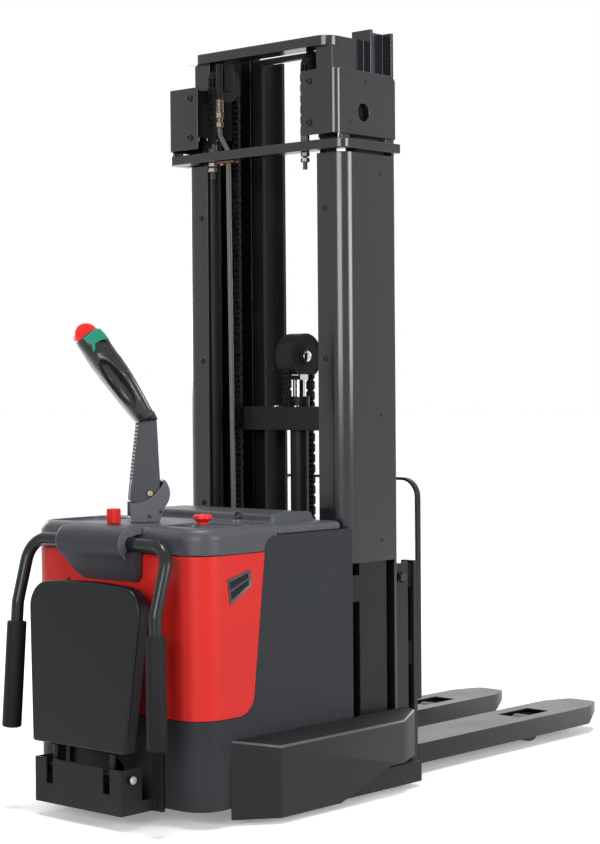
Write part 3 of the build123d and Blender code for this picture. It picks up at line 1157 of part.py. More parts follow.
def build():
    fork = make_fork()
    castor = make_castor_fork()
    castor_wheel = make_castor_wheel()
    load_wheel = make_load_wheel()
    side_arm = make_side_arm()
    skirt = make_skirt()
    nodes = {
        "chassis_frame": make_chassis(),
        "support_legs": pair(make_leg()),
        "outer_mast": make_outer_mast(),
        "outer_top_plate": make_outer_top_plate(),
        "mast_covers": pair(make_mast_cover()),
        "mast_caps": pair(make_mast_cap()),
        "side_cylinders": pair(make_side_cylinder()),
        "body_shell": make_body_shell(),
        "rear_panel": make_rear_panel(),
        "side_vents": make_vents(),
        "top_cover": make_top_cover(),
        "battery": make_battery(),
        "pump_unit": make_pump_unit(),
        "skirts": pair(skirt),
        "arm_holder": make_arm_holder(),
        "platform_bracket": [make_platform_bracket(), make_platform_pin()],
        "cover_screws": make_cover_screws(),
        "hydraulic_pipe": make_pipe(),
        "chain_anchors": pair(make_chain_anchor()),
        "drive_unit": steered(make_drive_unit()),
        "drive_wheel": steered(wheel(0, STEER_Y, DRIVE_R, DRIVE_R, DRIVE_W, DRIVE_AXLE_R + FIT, DRIVE_EDGE)),
        "steering_column": steered(make_steering_column()),
        "tiller_arm": steered(make_tiller_arm()),
        "tiller_head": steered(make_tiller_head()),
        "belly_button": steered(make_belly_button()),
        "butterfly_switch": steered(make_butterfly()),
        "castor_fork_right": castor,
        "castor_fork_left": mirrored(castor),
        "castor_wheel_right": castor_wheel,
        "castor_wheel_left": mirrored(castor_wheel),
        "load_wheel_right": load_wheel,
        "load_wheel_left": mirrored(load_wheel),
        "mid_mast": make_mid_mast(),
        "lift_rods": pair(make_lift_rod()),
        "chain_sheaves": pair(sheave(CHAIN_X, SHEAVE_Y, SHEAVE_Z, SHEAVE_R, SHEAVE_W, SHEAVE_PIN_R + FIT)),
        "mid_rollers": make_mid_rollers(),
        "chain_wraps": pair(make_chain_wrap()),
        "inner_mast": make_inner_mast(),
        "free_cylinder": make_free_cylinder(),
        "inner_rollers": make_inner_rollers(),
        "ram_head": make_ram_head(),
        "ram_sheave": sheave(0, FREE_Y, RAM_SHEAVE_Z, RAM_SHEAVE_R, SHEAVE_W, HUB_R + FIT),
        "sheave_guard": make_sheave_guard(),
        "carriage_frame": make_carriage_frame(),
        "fork_right": fork,
        "fork_left": mirrored(fork),
        "load_backrest": make_backrest(),
        "carriage_rollers": make_carriage_rollers(),
        "platform": make_platform(),
        "side_arm_right": side_arm,
        "side_arm_left": [mirrored(piece) for piece in side_arm],
        "estop_button": make_estop(),
        "switch_key": make_key(),
        "pull_handle": make_pull_handle(),
        "battery_cover": make_battery_cover(),
        "mast_hose": rod_z(PIPE_TOP[0], PIPE_Y, (FITTING_TOP, MID_PLATE_Z[0] - HOSE_R), HOSE_R),
    }
    nodes.update(strands())
    return nodes


def main():
    os.makedirs("parts", exist_ok=True)
    for name, shape in build().items():
        pieces = shape if isinstance(shape, list) else [shape]
        solids = [solid for piece in pieces for solid in piece.solids()]
        export_step(Compound(children=solids) if len(solids) > 1 else solids[0], f"parts/{name}.step")


if __name__ == "__main__":
    main()
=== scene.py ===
import bpy
import bmesh
import json
from math import cos, pi, radians, sin, tan
from mathutils import Matrix, Vector
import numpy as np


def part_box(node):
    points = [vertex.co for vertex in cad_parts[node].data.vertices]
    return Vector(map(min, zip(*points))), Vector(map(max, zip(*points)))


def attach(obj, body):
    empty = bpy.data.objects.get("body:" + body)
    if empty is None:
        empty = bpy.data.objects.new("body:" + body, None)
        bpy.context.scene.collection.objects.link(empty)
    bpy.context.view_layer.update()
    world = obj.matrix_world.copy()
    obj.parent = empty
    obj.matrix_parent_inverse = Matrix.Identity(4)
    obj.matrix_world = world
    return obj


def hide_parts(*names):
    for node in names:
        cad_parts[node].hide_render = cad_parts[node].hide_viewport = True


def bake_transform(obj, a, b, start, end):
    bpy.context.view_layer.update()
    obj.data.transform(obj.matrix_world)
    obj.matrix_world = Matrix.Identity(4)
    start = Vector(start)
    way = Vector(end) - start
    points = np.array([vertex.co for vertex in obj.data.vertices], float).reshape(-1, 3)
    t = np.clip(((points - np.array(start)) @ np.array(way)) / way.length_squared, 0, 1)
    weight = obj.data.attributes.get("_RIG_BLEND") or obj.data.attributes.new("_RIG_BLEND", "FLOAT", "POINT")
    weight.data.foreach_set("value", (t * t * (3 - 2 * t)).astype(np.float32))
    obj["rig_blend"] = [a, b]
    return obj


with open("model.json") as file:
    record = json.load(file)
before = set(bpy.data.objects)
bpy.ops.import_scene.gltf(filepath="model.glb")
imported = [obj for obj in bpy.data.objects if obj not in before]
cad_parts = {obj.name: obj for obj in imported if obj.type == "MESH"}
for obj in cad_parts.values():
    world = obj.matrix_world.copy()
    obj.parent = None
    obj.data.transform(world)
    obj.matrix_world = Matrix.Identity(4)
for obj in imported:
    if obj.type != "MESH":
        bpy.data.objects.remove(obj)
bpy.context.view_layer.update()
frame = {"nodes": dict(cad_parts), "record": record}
nodes = frame["nodes"]
members = frame["record"]["behaviour"]["bodies"]
bodyOf = {node: body for body, riders in members.items() for node in riders}
scene = bpy.context.scene
scene.view_settings.view_transform = "Standard"
print("frame loaded:", len(nodes), "nodes")

# camera at the photograph's standpoint, fitted to the truck's edges
cameraSetup = {"place": (3.9627, -4.5520, 1.1610), "lens": 84.32, "sensor": 36,
               "yaw": 42.0088, "pitch": -1.0420, "roll": -0.4418}


def makeCamera(setup):
    yaw, pitch, roll = (radians(setup[key]) for key in ("yaw", "pitch", "roll"))
    forward = Vector((-sin(yaw) * cos(pitch), cos(yaw) * cos(pitch), sin(pitch)))
    level = Vector((cos(yaw), sin(yaw), 0))
    upright = level.cross(forward)
    right = level * cos(roll) + upright * sin(roll)
    up = upright * cos(roll) - level * sin(roll)
    lens = bpy.data.cameras.new("photoView")
    lens.lens = setup["lens"]
    lens.sensor_width = setup["sensor"]
    view = bpy.data.objects.new("photoView", lens)
    turn = Matrix((right, up, -forward)).transposed().to_4x4()
    view.matrix_world = Matrix.Translation(setup["place"]) @ turn
    scene.collection.objects.link(view)
    scene.camera = view


makeCamera(cameraSetup)
print("camera set")

# shader groups shared by the finishes
shopWear = {"toneRange": (0.3, 0.7), "dustColor": (0.16, 0.15, 0.14, 1), "dustHeight": 0.25, "gloss": 0.6,
            "grainDepth": 0.0004}
scuffWear = {"scale": 30.0, "stretch": (1.0, 0.12, 1.0), "scratchRange": (0.56, 0.68), "patchScale": 5.0,
             "patchRange": (0.45, 0.62), "color": (0.24, 0.23, 0.22, 1)}


def newGroup(name, inputs, outputs):
    group = bpy.data.node_groups.new(name, "ShaderNodeTree")
    for label, kind, value in inputs:
        socket = group.interface.new_socket(name=label, in_out="INPUT", socket_type=kind)
        socket.default_value = value
    for label, kind in outputs:
        group.interface.new_socket(name=label, in_out="OUTPUT", socket_type=kind)
    return group, group.nodes.new("NodeGroupInput"), group.nodes.new("NodeGroupOutput")


def addNode(tree, kind, links=None, **settings):      # a socket takes another node's output or a plain value
    node = tree.nodes.new(kind)
    for key, value in settings.items():
        setattr(node, key, value)
    for socket, source in (links or {}).items():
        if hasattr(source, "is_output"):
            tree.links.new(source, node.inputs[socket])
        else:
            node.inputs[socket].default_value = source
    return node


def reckon(tree, operation, *values):
    return addNode(tree, "ShaderNodeMath", dict(enumerate(values)), operation=operation).outputs[0]


def rescale(tree, value, fromRange, toRange):
    return addNode(tree, "ShaderNodeMapRange", dict(enumerate((value, *fromRange, *toRange)))).outputs[0]


def blendColor(tree, factor, under, over):
    return addNode(tree, "ShaderNodeMix", {"Factor": factor, 6: under, 7: over}, data_type="RGBA").outputs[2]


def noise(tree, place, scale, detail, roughness=0.5):
    links = {"Vector": place, "Scale": scale, "Detail": detail, "Roughness": roughness}
    return addNode(tree, "ShaderNodeTexNoise", links).outputs["Fac"]


def buildShopFinish(wear):      # broad tone, fine grain and dust near the floor
    inputs = [("Color", "NodeSocketColor", (0.1, 0.1, 0.1, 1)), ("Roughness", "NodeSocketFloat", 0.5),
              ("Tone", "NodeSocketFloat", 0.1), ("Tone Scale", "NodeSocketFloat", 7.0),
              ("Grain Scale", "NodeSocketFloat", 900.0), ("Dust", "NodeSocketFloat", 0.1)]
    outputs = [("Color", "NodeSocketColor"), ("Roughness", "NodeSocketFloat"), ("Height", "NodeSocketFloat")]
    group, start, end = newGroup("shopFinish", inputs, outputs)
    given = start.outputs
    place = addNode(group, "ShaderNodeTexCoord").outputs["Object"]
    broad = noise(group, place, given["Tone Scale"], 4.0)
    amount = reckon(group, "MULTIPLY", rescale(group, broad, wear["toneRange"], (-1.0, 1.0)), given["Tone"])
    shade = reckon(group, "ADD", amount, 1.0)
    scaled = {0: given["Color"], 3: shade}
    toned = addNode(group, "ShaderNodeVectorMath", scaled, operation="SCALE").outputs[0]
    height = addNode(group, "ShaderNodeSeparateXYZ", {0: place}).outputs[2]
    low = rescale(group, height, (wear["dustHeight"], 0.0), (0.0, 1.0))
    dust = reckon(group, "MULTIPLY", reckon(group, "MULTIPLY", low, broad), given["Dust"])
    rougher = reckon(group, "MULTIPLY_ADD", amount, wear["gloss"], given["Roughness"])
    group.links.new(blendColor(group, dust, toned, wear["dustColor"]), end.inputs["Color"])
    group.links.new(rougher, end.inputs["Roughness"])
    group.links.new(noise(group, place, given["Grain Scale"], 2.0), end.inputs["Height"])
    return group


def buildScuffs(wear):      # short scratches in a few patches
    inputs = [("Amount", "NodeSocketFloat", 0.2)]
    group, start, end = newGroup("scuffs", inputs, [("Mask", "NodeSocketFloat")])
    place = addNode(group, "ShaderNodeTexCoord").outputs["Object"]
    stretched = addNode(group, "ShaderNodeMapping", {"Vector": place, "Scale": wear["stretch"]}).outputs[0]
    scratches = noise(group, stretched, wear["scale"], 6.0, 0.7)
    patches = noise(group, place, wear["patchScale"], 2.0)
    sharp = rescale(group, scratches, wear["scratchRange"], (0.0, 1.0))
    wide = rescale(group, patches, wear["patchRange"], (0.0, 1.0))
    mask = reckon(group, "MULTIPLY", reckon(group, "MULTIPLY", sharp, wide), start.outputs["Amount"])
    group.links.new(mask, end.inputs["Mask"])
    return group


shopFinish = buildShopFinish(shopWear)
scuffs = buildScuffs(scuffWear)

# finishes of the truck: what isn't given is as in a plain paint
finishSpecs = {
    "mastGrey": dict(color=(0.0138, 0.0148, 0.0195), roughness=0.17, specular=0.54, tone=0.05, toneScale=3.0,
                     grain=1400.0, dust=0.04),
    "frameGrey": dict(color=(0.0165, 0.0172, 0.0192), roughness=0.26, specular=0.22, bump=0.15, tone=0.07,
                      grain=1400.0, dust=0.06),
    "skirtGrey": dict(color=(0.0105, 0.0108, 0.0116), roughness=0.40, specular=0.22, bump=0.3, tone=0.06,
                      grain=1600.0, dust=0.03),
    # painted highlight: light paint for the skirts' rounded upper edge
    "paintedHighlightGrey": dict(color=(0.066, 0.066, 0.070), roughness=0.28, specular=0.5, tone=0.08, dust=0.03),
    # painted shade: near-black paint for faces deep in shade
    "paintedShadeBlack": dict(color=(0.0105, 0.0093, 0.0098), roughness=0.55, specular=0.10, bump=0.15, tone=0.15,
                       dust=0.05),
    "bracketBlack": dict(color=(0.0125, 0.0122, 0.0140), roughness=0.40, specular=0.14, bump=0.25, tone=0.08,
                         grain=1200.0, dust=0.12, scuff=0.05),
    "railBlack": dict(color=(0.0180, 0.0162, 0.0175), roughness=0.42, specular=0.15, bump=0.15, tone=0.15,
                      scuff=0.03),
    "forkGrey": dict(color=(0.0090, 0.0094, 0.0112), roughness=0.20, specular=0.22, bump=0.1, tone=0.08,
                     grain=1200.0, dust=0.02, scuff=0.02),
    "shellGrey": dict(color=(0.0245, 0.0275, 0.0315), roughness=0.46, specular=0.15, bump=0.5, tone=0.05,
                      toneScale=4.0, grain=1800.0),
    "coverGrey": dict(color=(0.066, 0.0705, 0.0805), roughness=0.34, specular=0.32, bump=0.4, tone=0.05,
                      toneScale=4.0, grain=1800.0),
    "tillerGrey": dict(color=(0.062, 0.064, 0.073), roughness=0.44, bump=0.5, tone=0.05, toneScale=9.0,
                       grain=1800.0),
    "cupGrey": dict(color=(0.110, 0.116, 0.132), roughness=0.36, specular=0.30, bump=0.4, tone=0.05,
                    toneScale=9.0, grain=1800.0),
    "signalRed": dict(color=(0.700, 0.0230, 0.0165), roughness=0.36, bump=0.1, tone=0.03, toneScale=3.0,
                      grain=1500.0),
    "controlRed": dict(color=(0.76, 0.018, 0.016), roughness=0.36, specular=0.30, bump=0.10, tone=0.04),
    "treadBlack": dict(color=(0.0032, 0.0042, 0.0066), roughness=0.32, specular=0.22, bump=0.3, tone=0.06,
                       grain=1500.0, dust=0.03),
    "holderBlack": dict(color=(0.040, 0.0435, 0.0545), roughness=0.44, specular=0.20, bump=0.5, tone=0.06,
                        grain=1500.0),
    "headBlack": dict(color=(0.0125, 0.0118, 0.0130), roughness=0.24, specular=0.42, bump=0.2, tone=0.08,
                      grain=1500.0),
    "switchGreen": dict(color=(0.010, 0.260, 0.160), roughness=0.34, specular=0.35, bump=0.1, tone=0.05),
    "gripRubber": dict(color=(0.0095, 0.0085, 0.0085), roughness=0.60, specular=0.16, bump=0.8, tone=0.12,
                       grain=700.0),
    "armPaint": dict(color=(0.0125, 0.0140, 0.0165), roughness=0.24, specular=0.26, tone=0.06, grain=1200.0),
    "hoseRubber": dict(color=(0.0085, 0.0085, 0.009), roughness=0.55, specular=0.18, bump=0.4),
    "tyreBrown": dict(color=(0.120, 0.076, 0.044), roughness=0.50, specular=0.3, bump=0.2, tone=0.12,
                      toneScale=25.0, grain=700.0, dust=0.4, scuff=0.2),
    "brightSteel": dict(color=(0.46, 0.45, 0.44), roughness=0.34, metallic=1.0, bump=0.1, toneScale=30.0,
                        grain=1200.0),
    "darkSteel": dict(color=(0.020, 0.019, 0.019), roughness=0.45, metallic=0.5, specular=0.2, bump=0.15,
                      tone=0.20, toneScale=40.0, grain=1200.0),
    "chromeRod": dict(color=(0.60, 0.60, 0.61), roughness=0.14, metallic=1.0, bump=0.02, tone=0.04,
                      grain=800.0),
    "chainSteel": dict(color=(0.014, 0.012, 0.012), roughness=0.42, metallic=0.5, bump=0.2, tone=0.35,
                       toneScale=60.0, grain=1500.0),
    "castGrey": dict(color=(0.075, 0.075, 0.078), roughness=0.60, bump=0.9, tone=0.12, grain=500.0),
    "pipeGrey": dict(color=(0.150, 0.140, 0.115), roughness=0.42, specular=0.3, bump=0.1, tone=0.12,
                     toneScale=20.0),
    "fittingZinc": dict(color=(0.130, 0.108, 0.080), roughness=0.46, metallic=1.0, bump=0.1, tone=0.15,
                        toneScale=40.0),
    "dullZinc": dict(color=(0.115, 0.110, 0.108), roughness=0.38, metallic=0.9, bump=0.2, tone=0.25,
                     toneScale=60.0),
    "clampCopper": dict(color=(0.16, 0.095, 0.062), roughness=0.40, metallic=0.9, bump=0.1, tone=0.12,
                        toneScale=40.0),
    "boltBrass": dict(color=(0.50, 0.38, 0.24), roughness=0.32, metallic=1.0, bump=0.1, toneScale=40.0),
    "screwBlack": dict(color=(0.012, 0.012, 0.013), roughness=0.34, specular=0.4, bump=0.1),
}


def makeFinish(name, color, roughness, metallic=0.0, specular=0.25, bump=0.05, tone=0.1, toneScale=7.0,
               grain=900.0, dust=0.1, scuff=0.0):
    material = bpy.data.materials.new(name)
    material.use_nodes = True
    tree = material.node_tree
    shader = tree.nodes["Principled BSDF"]
    values = {"Color": (*color, 1), "Roughness": roughness, "Tone": tone, "Tone Scale": toneScale,
              "Grain Scale": grain, "Dust": dust}
    finish = addNode(tree, "ShaderNodeGroup", values, node_tree=shopFinish)
    surface = finish.outputs["Color"]
    if scuff:
        worn = addNode(tree, "ShaderNodeGroup", {"Amount": scuff}, node_tree=scuffs)
        surface = blendColor(tree, worn.outputs["Mask"], surface, scuffWear["color"])
    relief = {"Height": finish.outputs["Height"], "Strength": bump, "Distance": shopWear["grainDepth"]}
    tree.links.new(surface, shader.inputs["Base Color"])
    tree.links.new(finish.outputs["Roughness"], shader.inputs["Roughness"])
    tree.links.new(addNode(tree, "ShaderNodeBump", relief).outputs["Normal"], shader.inputs["Normal"])
    shader.inputs["Metallic"].default_value = metallic
    shader.inputs["Specular IOR Level"].default_value = specular
    return material


finishes = {name: makeFinish(name, **spec) for name, spec in finishSpecs.items()}
print("finishes:", len(finishes))


# pieces: a mesh with finishes that rides with a CAD node's body
def pieceName(node):
    words = node.split("_")
    return words[0] + "".join(word.title() for word in words[1:])


def meshOf(name, bm):
    mesh = bpy.data.meshes.new(name)
    bm.to_mesh(mesh)
    bm.free()
    return mesh


def newPiece(name, bm, finish, smoothAngle=35.0):
    mesh = meshOf(name, bm)
    for attribute in list(mesh.attributes):
        if attribute.name == "custom_normal":
            mesh.attributes.remove(attribute)
    mesh.polygons.foreach_set("use_smooth", [True] * len(mesh.polygons))
    mesh.set_sharp_from_angle(angle=radians(smoothAngle))
    labels = [finish] if isinstance(finish, str) else finish
    indices = [face.material_index if len(labels) > 1 else 0 for face in mesh.polygons]
    for label in labels:
        mesh.materials.append(finishes[label])
    mesh.polygons.foreach_set("material_index", indices)
    piece = bpy.data.objects.new(name, mesh)
    scene.collection.objects.link(piece)
    return piece


def fitting(name, bm, finish, node, smoothAngle=35.0):      # small piece on a node that stays in view
    piece = newPiece(name, bm, finish, smoothAngle)
    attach(piece, bodyOf[node])
    return piece


def standIn(node, bm, finish, smoothAngle=35.0):      # piece that shows in a node's place
    piece = fitting(pieceName(node), bm, finish, node, smoothAngle)
    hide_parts(node)
    return piece


def stretchedPiece(node, bm, finish, bodies, start, end):      # stand-in that stretches between two bodies
    piece = newPiece(pieceName(node), bm, finish)
    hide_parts(node)
    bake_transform(piece, *bodies, start=start, end=end)


def bevelEdges(piece, width, segments=2, angle=40.0):
    edge = piece.modifiers.new("edge", "BEVEL")
    edge.width = width
    edge.segments = segments
    edge.limit_method = "ANGLE"
    edge.angle_limit = radians(angle)
    edge.use_clamp_overlap = False
    edge.harden_normals = True
    return piece


def repaint(piece, finish, test):
    piece.data.materials.append(finishes[finish])
    index = len(piece.data.materials) - 1
    for face in piece.data.polygons:
        if test(face.center, face.normal):
            face.material_index = index


# mesh helpers
outright = 0.9      # a face whose normal has this much of one axis is turned that way


def onlyVerts(geom):
    return [item for item in geom if isinstance(item, bmesh.types.BMVert)]


def onlyEdges(geom):
    return [item for item in geom if isinstance(item, bmesh.types.BMEdge)]


def gather(parts):      # joins bmeshes, each with a material index, or None where its faces keep theirs
    whole = bmesh.new()
    for bm, index in parts:
        if index is not None:
            for face in bm.faces:
                face.material_index = index
        holder = meshOf("holder", bm)
        whole.from_mesh(holder)
        bpy.data.meshes.remove(holder)
    return whole


def spun(profile, steps=32, closed=False):      # radius and height pairs turned about the upright axis
    bm = bmesh.new()
    line = [bm.verts.new((radius, 0, height)) for radius, height in profile]
    edges = [bm.edges.new(ends) for ends in zip(line, line[1:] + (line[:1] if closed else []))]
    bmesh.ops.spin(bm, geom=line + edges, cent=(0, 0, 0), axis=(0, 0, 1), angle=2 * pi, steps=steps,
                   use_merge=True)
    bmesh.ops.remove_doubles(bm, verts=bm.verts, dist=1e-6)
    bmesh.ops.recalc_face_normals(bm, faces=bm.faces)
    return bm


def turnedCap(form, steps):      # low round head with a broken edge
    rim = [(form["radius"], form["wall"]), (form["radius"] - form["inset"], form["rim"])]
    return spun([(0, 0), (form["radius"], 0), *rim, (0, form["middle"])], steps)


def raiseFaces(bm, depth):      # flat faces in XY raised along Z
    raised = bmesh.ops.extrude_face_region(bm, geom=bm.faces[:])["geom"]
    bmesh.ops.translate(bm, vec=(0, 0, depth), verts=onlyVerts(raised))
    return bm


def prism(outline, depth):
    bm = bmesh.new()
    bm.faces.new([bm.verts.new((x, y, 0)) for x, y in outline])
    raiseFaces(bm, depth)
    bmesh.ops.recalc_face_normals(bm, faces=bm.faces)
    return bm


def breakEdges(bm, edges, width, segments, material=-1):
    bmesh.ops.bevel(bm, geom=edges, offset=width, segments=segments, profile=0.5, affect="EDGES",
                    material=material)


def bar(low, high, edge=0.0):      # upright box between two corners, its edges broken
    bm = bmesh.new()
    bmesh.ops.create_cube(bm, size=1)
    size = [b - a for a, b in zip(low, high)]
    middle = [(a + b) / 2 for a, b in zip(low, high)]
    moved(bm, Matrix.Translation(middle) @ Matrix.Diagonal((*size, 1)))
    if edge:
        breakEdges(bm, bm.edges[:], edge, 2)
    return bm


def hexNut(radius, height, chamfer=0.1):      # the chamfer is a share of the height
    bm = bmesh.new()
    bmesh.ops.create_cone(bm, cap_ends=True, segments=6, radius1=radius, radius2=radius, depth=height)
    rims = [edge for edge in bm.edges if abs(edge.verts[0].co.z - edge.verts[1].co.z) < 1e-6]
    breakEdges(bm, rims, height * chamfer, 1)
    bmesh.ops.translate(bm, vec=(0, 0, height / 2), verts=bm.verts)
    return bm


def moved(bm, matrix):
    bmesh.ops.transform(bm, matrix=matrix, verts=bm.verts)
    return bm


def placed(bm, at, axis=(0, 0, 1)):
    turn = Vector((0, 0, 1)).rotation_difference(Vector(axis)).to_matrix().to_4x4()
    return moved(bm, Matrix.Translation(at) @ turn)


def onWall(bm, face, y=0.0, z=0.0):      # a form drawn flat in XY stood up on a side wall
    return moved(bm, Matrix(((0, 0, 1, face), (1, 0, 0, y), (0, 1, 0, z), (0, 0, 0, 1))))


def mirroredX(bm):
    other = bm.copy()
    bmesh.ops.scale(other, vec=(-1, 1, 1), verts=other.verts)
    bmesh.ops.reverse_faces(other, faces=other.faces)
    return other


def bothSides(bm):
    return gather([(mirroredX(bm), None), (bm, None)])


def pipeRun(points, radius, bend, sides=20, steps=8):      # round tube along straight runs with spun bends
    path = [Vector(point) for point in points]
    bm = bmesh.new()
    bmesh.ops.create_circle(bm, cap_ends=True, segments=sides, radius=radius)
    placed(bm, path[0], path[1] - path[0])
    edges = bm.edges[:]
    at = path[0]

    def advance(edges, vec):
        new = bmesh.ops.extrude_edge_only(bm, edges=edges)["geom"]
        bmesh.ops.translate(bm, vec=vec, verts=onlyVerts(new))
        return onlyEdges(new)

    for corner, after in zip(path[1:-1], path[2:]):
        inward, outward = (corner - at).normalized(), (after - corner).normalized()
        angle = inward.angle(outward)
        trim = bend * tan(angle / 2)
        axis = inward.cross(outward).normalized()
        edges = advance(edges, corner - inward * trim - at)
        centre = corner - inward * trim + axis.cross(inward) * bend
        ring = edges + list({vert for edge in edges for vert in edge.verts})
        turned = bmesh.ops.spin(bm, geom=ring, cent=centre, axis=axis, angle=angle, steps=steps,
                                use_merge=False)
        edges = onlyEdges(turned["geom_last"])
        at = corner + outward * trim
    edges = advance(edges, path[-1] - at)
    bmesh.ops.edgeloop_fill(bm, edges=edges)
    bmesh.ops.recalc_face_normals(bm, faces=bm.faces)
    return bm


def copyNode(node, merge=1e-5, flat=0.4):      # a node's triangles merged, and joined where they lie flat
    bm = bmesh.new()
    bm.from_mesh(nodes[node].data)
    bmesh.ops.remove_doubles(bm, verts=bm.verts, dist=merge)
    bmesh.ops.dissolve_limit(bm, angle_limit=radians(flat), verts=bm.verts, edges=bm.edges)
    return bm


def tempObject(bm):
    temp = bpy.data.objects.new("holder", meshOf("holder", bm))
    scene.collection.objects.link(temp)
    return temp


def addRemesh(temp, voxel):
    remesh = temp.modifiers.new("remesh", "REMESH")
    remesh.mode = "VOXEL"
    remesh.voxel_size = voxel


def melted(bm, voxel, rounds, cutter=None):      # closed forms joined, hollowed and rounded off
    temp = tempObject(bm)
    addRemesh(temp, voxel)
    if cutter:
        hollow = tempObject(cutter)
        cut = temp.modifiers.new("cut", "BOOLEAN")
        cut.operation = "DIFFERENCE"
        cut.object = hollow
        addRemesh(temp, voxel)
    graph = bpy.context.evaluated_depsgraph_get()
    mesh = bpy.data.meshes.new_from_object(temp.evaluated_get(graph))
    bm = bmesh.new()
    bm.from_mesh(mesh)
    for turn in range(rounds):
        bmesh.ops.smooth_vert(bm, verts=bm.verts, factor=0.5, use_axis_x=True, use_axis_y=True,
                              use_axis_z=True)
    bpy.data.meshes.remove(mesh)
    bpy.data.objects.remove(temp)
    if cutter:
        bpy.data.objects.remove(hollow)
    return bm


# sheets, bars and castings that keep their CAD form: finish and edge radius in metres
softEdges = {
    "mast_covers": ("mastGrey", 0.0012), "mast_caps": ("mastGrey", 0.0020),
    "outer_top_plate": ("mastGrey", 0.0025), "outer_mast": ("frameGrey", 0.0020),
    "mid_mast": ("mastGrey", 0.0020), "inner_mast": ("railBlack", 0.0020),
    "carriage_frame": ("railBlack", 0.0020), "chassis_frame": ("railBlack", 0.0020),
    "support_legs": ("frameGrey", 0.0020), "fork_left": ("forkGrey", 0.0022),
    "fork_right": ("forkGrey", 0.0022), "body_shell": ("shellGrey", 0.0015),
    "rear_panel": ("signalRed", 0.0015), "load_backrest": ("frameGrey", 0.0020),
    "platform_bracket": ("bracketBlack", 0.0020), "platform": ("treadBlack", 0.0080),
    "steering_column": ("cupGrey", 0.0025), "tiller_arm": ("tillerGrey", 0.0030),
    "pull_handle": ("controlRed", 0.0030), "side_cylinders": ("railBlack", 0.0010),
    "free_cylinder": ("railBlack", 0.0010), "ram_head": ("chromeRod", 0.0008),
    "castor_fork_left": ("frameGrey", 0.0010), "castor_fork_right": ("frameGrey", 0.0010),
}
wideEdge = 0.0035      # a rounder edge than this takes a third segment
paintZones = {"turnedIn": 0.3, "cheekHalf": 0.207, "cheekTop": 2.127, "railHalf": 0.3145, "turnedOut": 0.1,
              "uprights": (0.27, 0.28), "yokeLow": 1.165, "hub": (-0.156, 1.250), "hubRadius": 0.018}


def softCopy(node, finish, width):
    return bevelEdges(standIn(node, copyNode(node), finish), width, 3 if width > wideEdge else 2)


def mastInside(center, normal):      # faces turned to the middle of the mast, given painted shade
    return normal.x * center.x < 0 and abs(normal.x) > paintZones["turnedIn"]


def midCheek(center, normal):      # cheeks and ties between the mid rails, under the top plate: dark paint, partly greased steel and partly painted shade
    return center.z < paintZones["cheekTop"] and abs(center.x) < paintZones["cheekHalf"]


def railOutside(center, normal):      # the outer rails' sides, painted dark as painted shade of the channel
    return abs(center.x) > paintZones["railHalf"]


def uprightInside(center, normal):      # the carriage uprights' inner sides and edges, given painted shade
    low, high = paintZones["uprights"]
    return low < abs(center.x) < high


def uprightSide(center, normal):      # the carriage uprights' outer sides
    return normal.x * center.x > paintZones["turnedOut"] and abs(center.x) > paintZones["uprights"][1]


def yokeFace(center, normal):      # the ram's fork round the sheave, without its hub
    fromHub = (Vector(center[1:]) - Vector(paintZones["hub"])).length
    return center.z > paintZones["yokeLow"] and fromHub > paintZones["hubRadius"]


softPieces = {node: softCopy(node, finish, width) for node, (finish, width) in softEdges.items()}
# painted shade: faces turned into the mast are painted near-black
for node in ("outer_mast", "mid_mast", "mast_caps", "mast_covers"):
    repaint(softPieces[node], "paintedShadeBlack", mastInside)
# partly greased steel, partly painted shade: the mid mast's inner cheeks are painted dark
repaint(softPieces["mid_mast"], "railBlack", midCheek)
# painted shade: the outer rails' webs are painted dark
repaint(softPieces["outer_mast"], "railBlack", railOutside)
# painted shade on the carriage uprights' inner sides
repaint(softPieces["carriage_frame"], "paintedShadeBlack", uprightInside)
repaint(softPieces["carriage_frame"], "frameGrey", uprightSide)
repaint(softPieces["ram_head"], "darkSteel", yokeFace)
print("soft edged copies:", len(softPieces))

# skirts: sheet steel with a rounded upper edge in a lighter finish as a painted highlight, and flat tops
# painted lighter as painted light from above
skirtEdge = {"top": 0.0050, "rest": 0.0025, "corner": 60.0, "level": 0.98}


def upperEdges(bm, corner):      # outward edges between a top face and a wall
    bm.normal_update()
    whole = [edge for edge in bm.edges if edge.is_manifold]
    sharp = [edge for edge in whole if edge.calc_face_angle_signed() > radians(corner)]
    return [edge for edge in sharp if max(face.normal.z for face in edge.link_faces) > outright]


def makeSkirts(spec):      # the rounded edge takes the second finish, a painted highlight
    bm = copyNode("skirts")
    breakEdges(bm, upperEdges(bm, spec["corner"]), spec["top"], 3, material=1)
    return bm


skirts = standIn("skirts", makeSkirts(skirtEdge), ("skirtGrey", "paintedHighlightGrey"))
bevelEdges(skirts, skirtEdge["rest"])
# painted light: the skirts' flat tops take the lighter shell paint
repaint(skirts, "shellGrey", lambda center, normal: normal.z > skirtEdge["level"])

# nodes that keep their own mesh and only take a finish
plainFinish = {
    "battery": "treadBlack", "pump_unit": "castGrey", "drive_unit": "castGrey", "lift_rods": "chromeRod",
    "chain_sheaves": "darkSteel", "mid_rollers": "darkSteel", "inner_rollers": "darkSteel",
    "ram_sheave": "darkSteel", "carriage_rollers": "darkSteel",
}
for node, finish in plainFinish.items():
    mesh = nodes[node].data
    mesh.materials.clear()
    mesh.materials.append(finishes[finish])
print("plain finishes:", len(plainFinish))

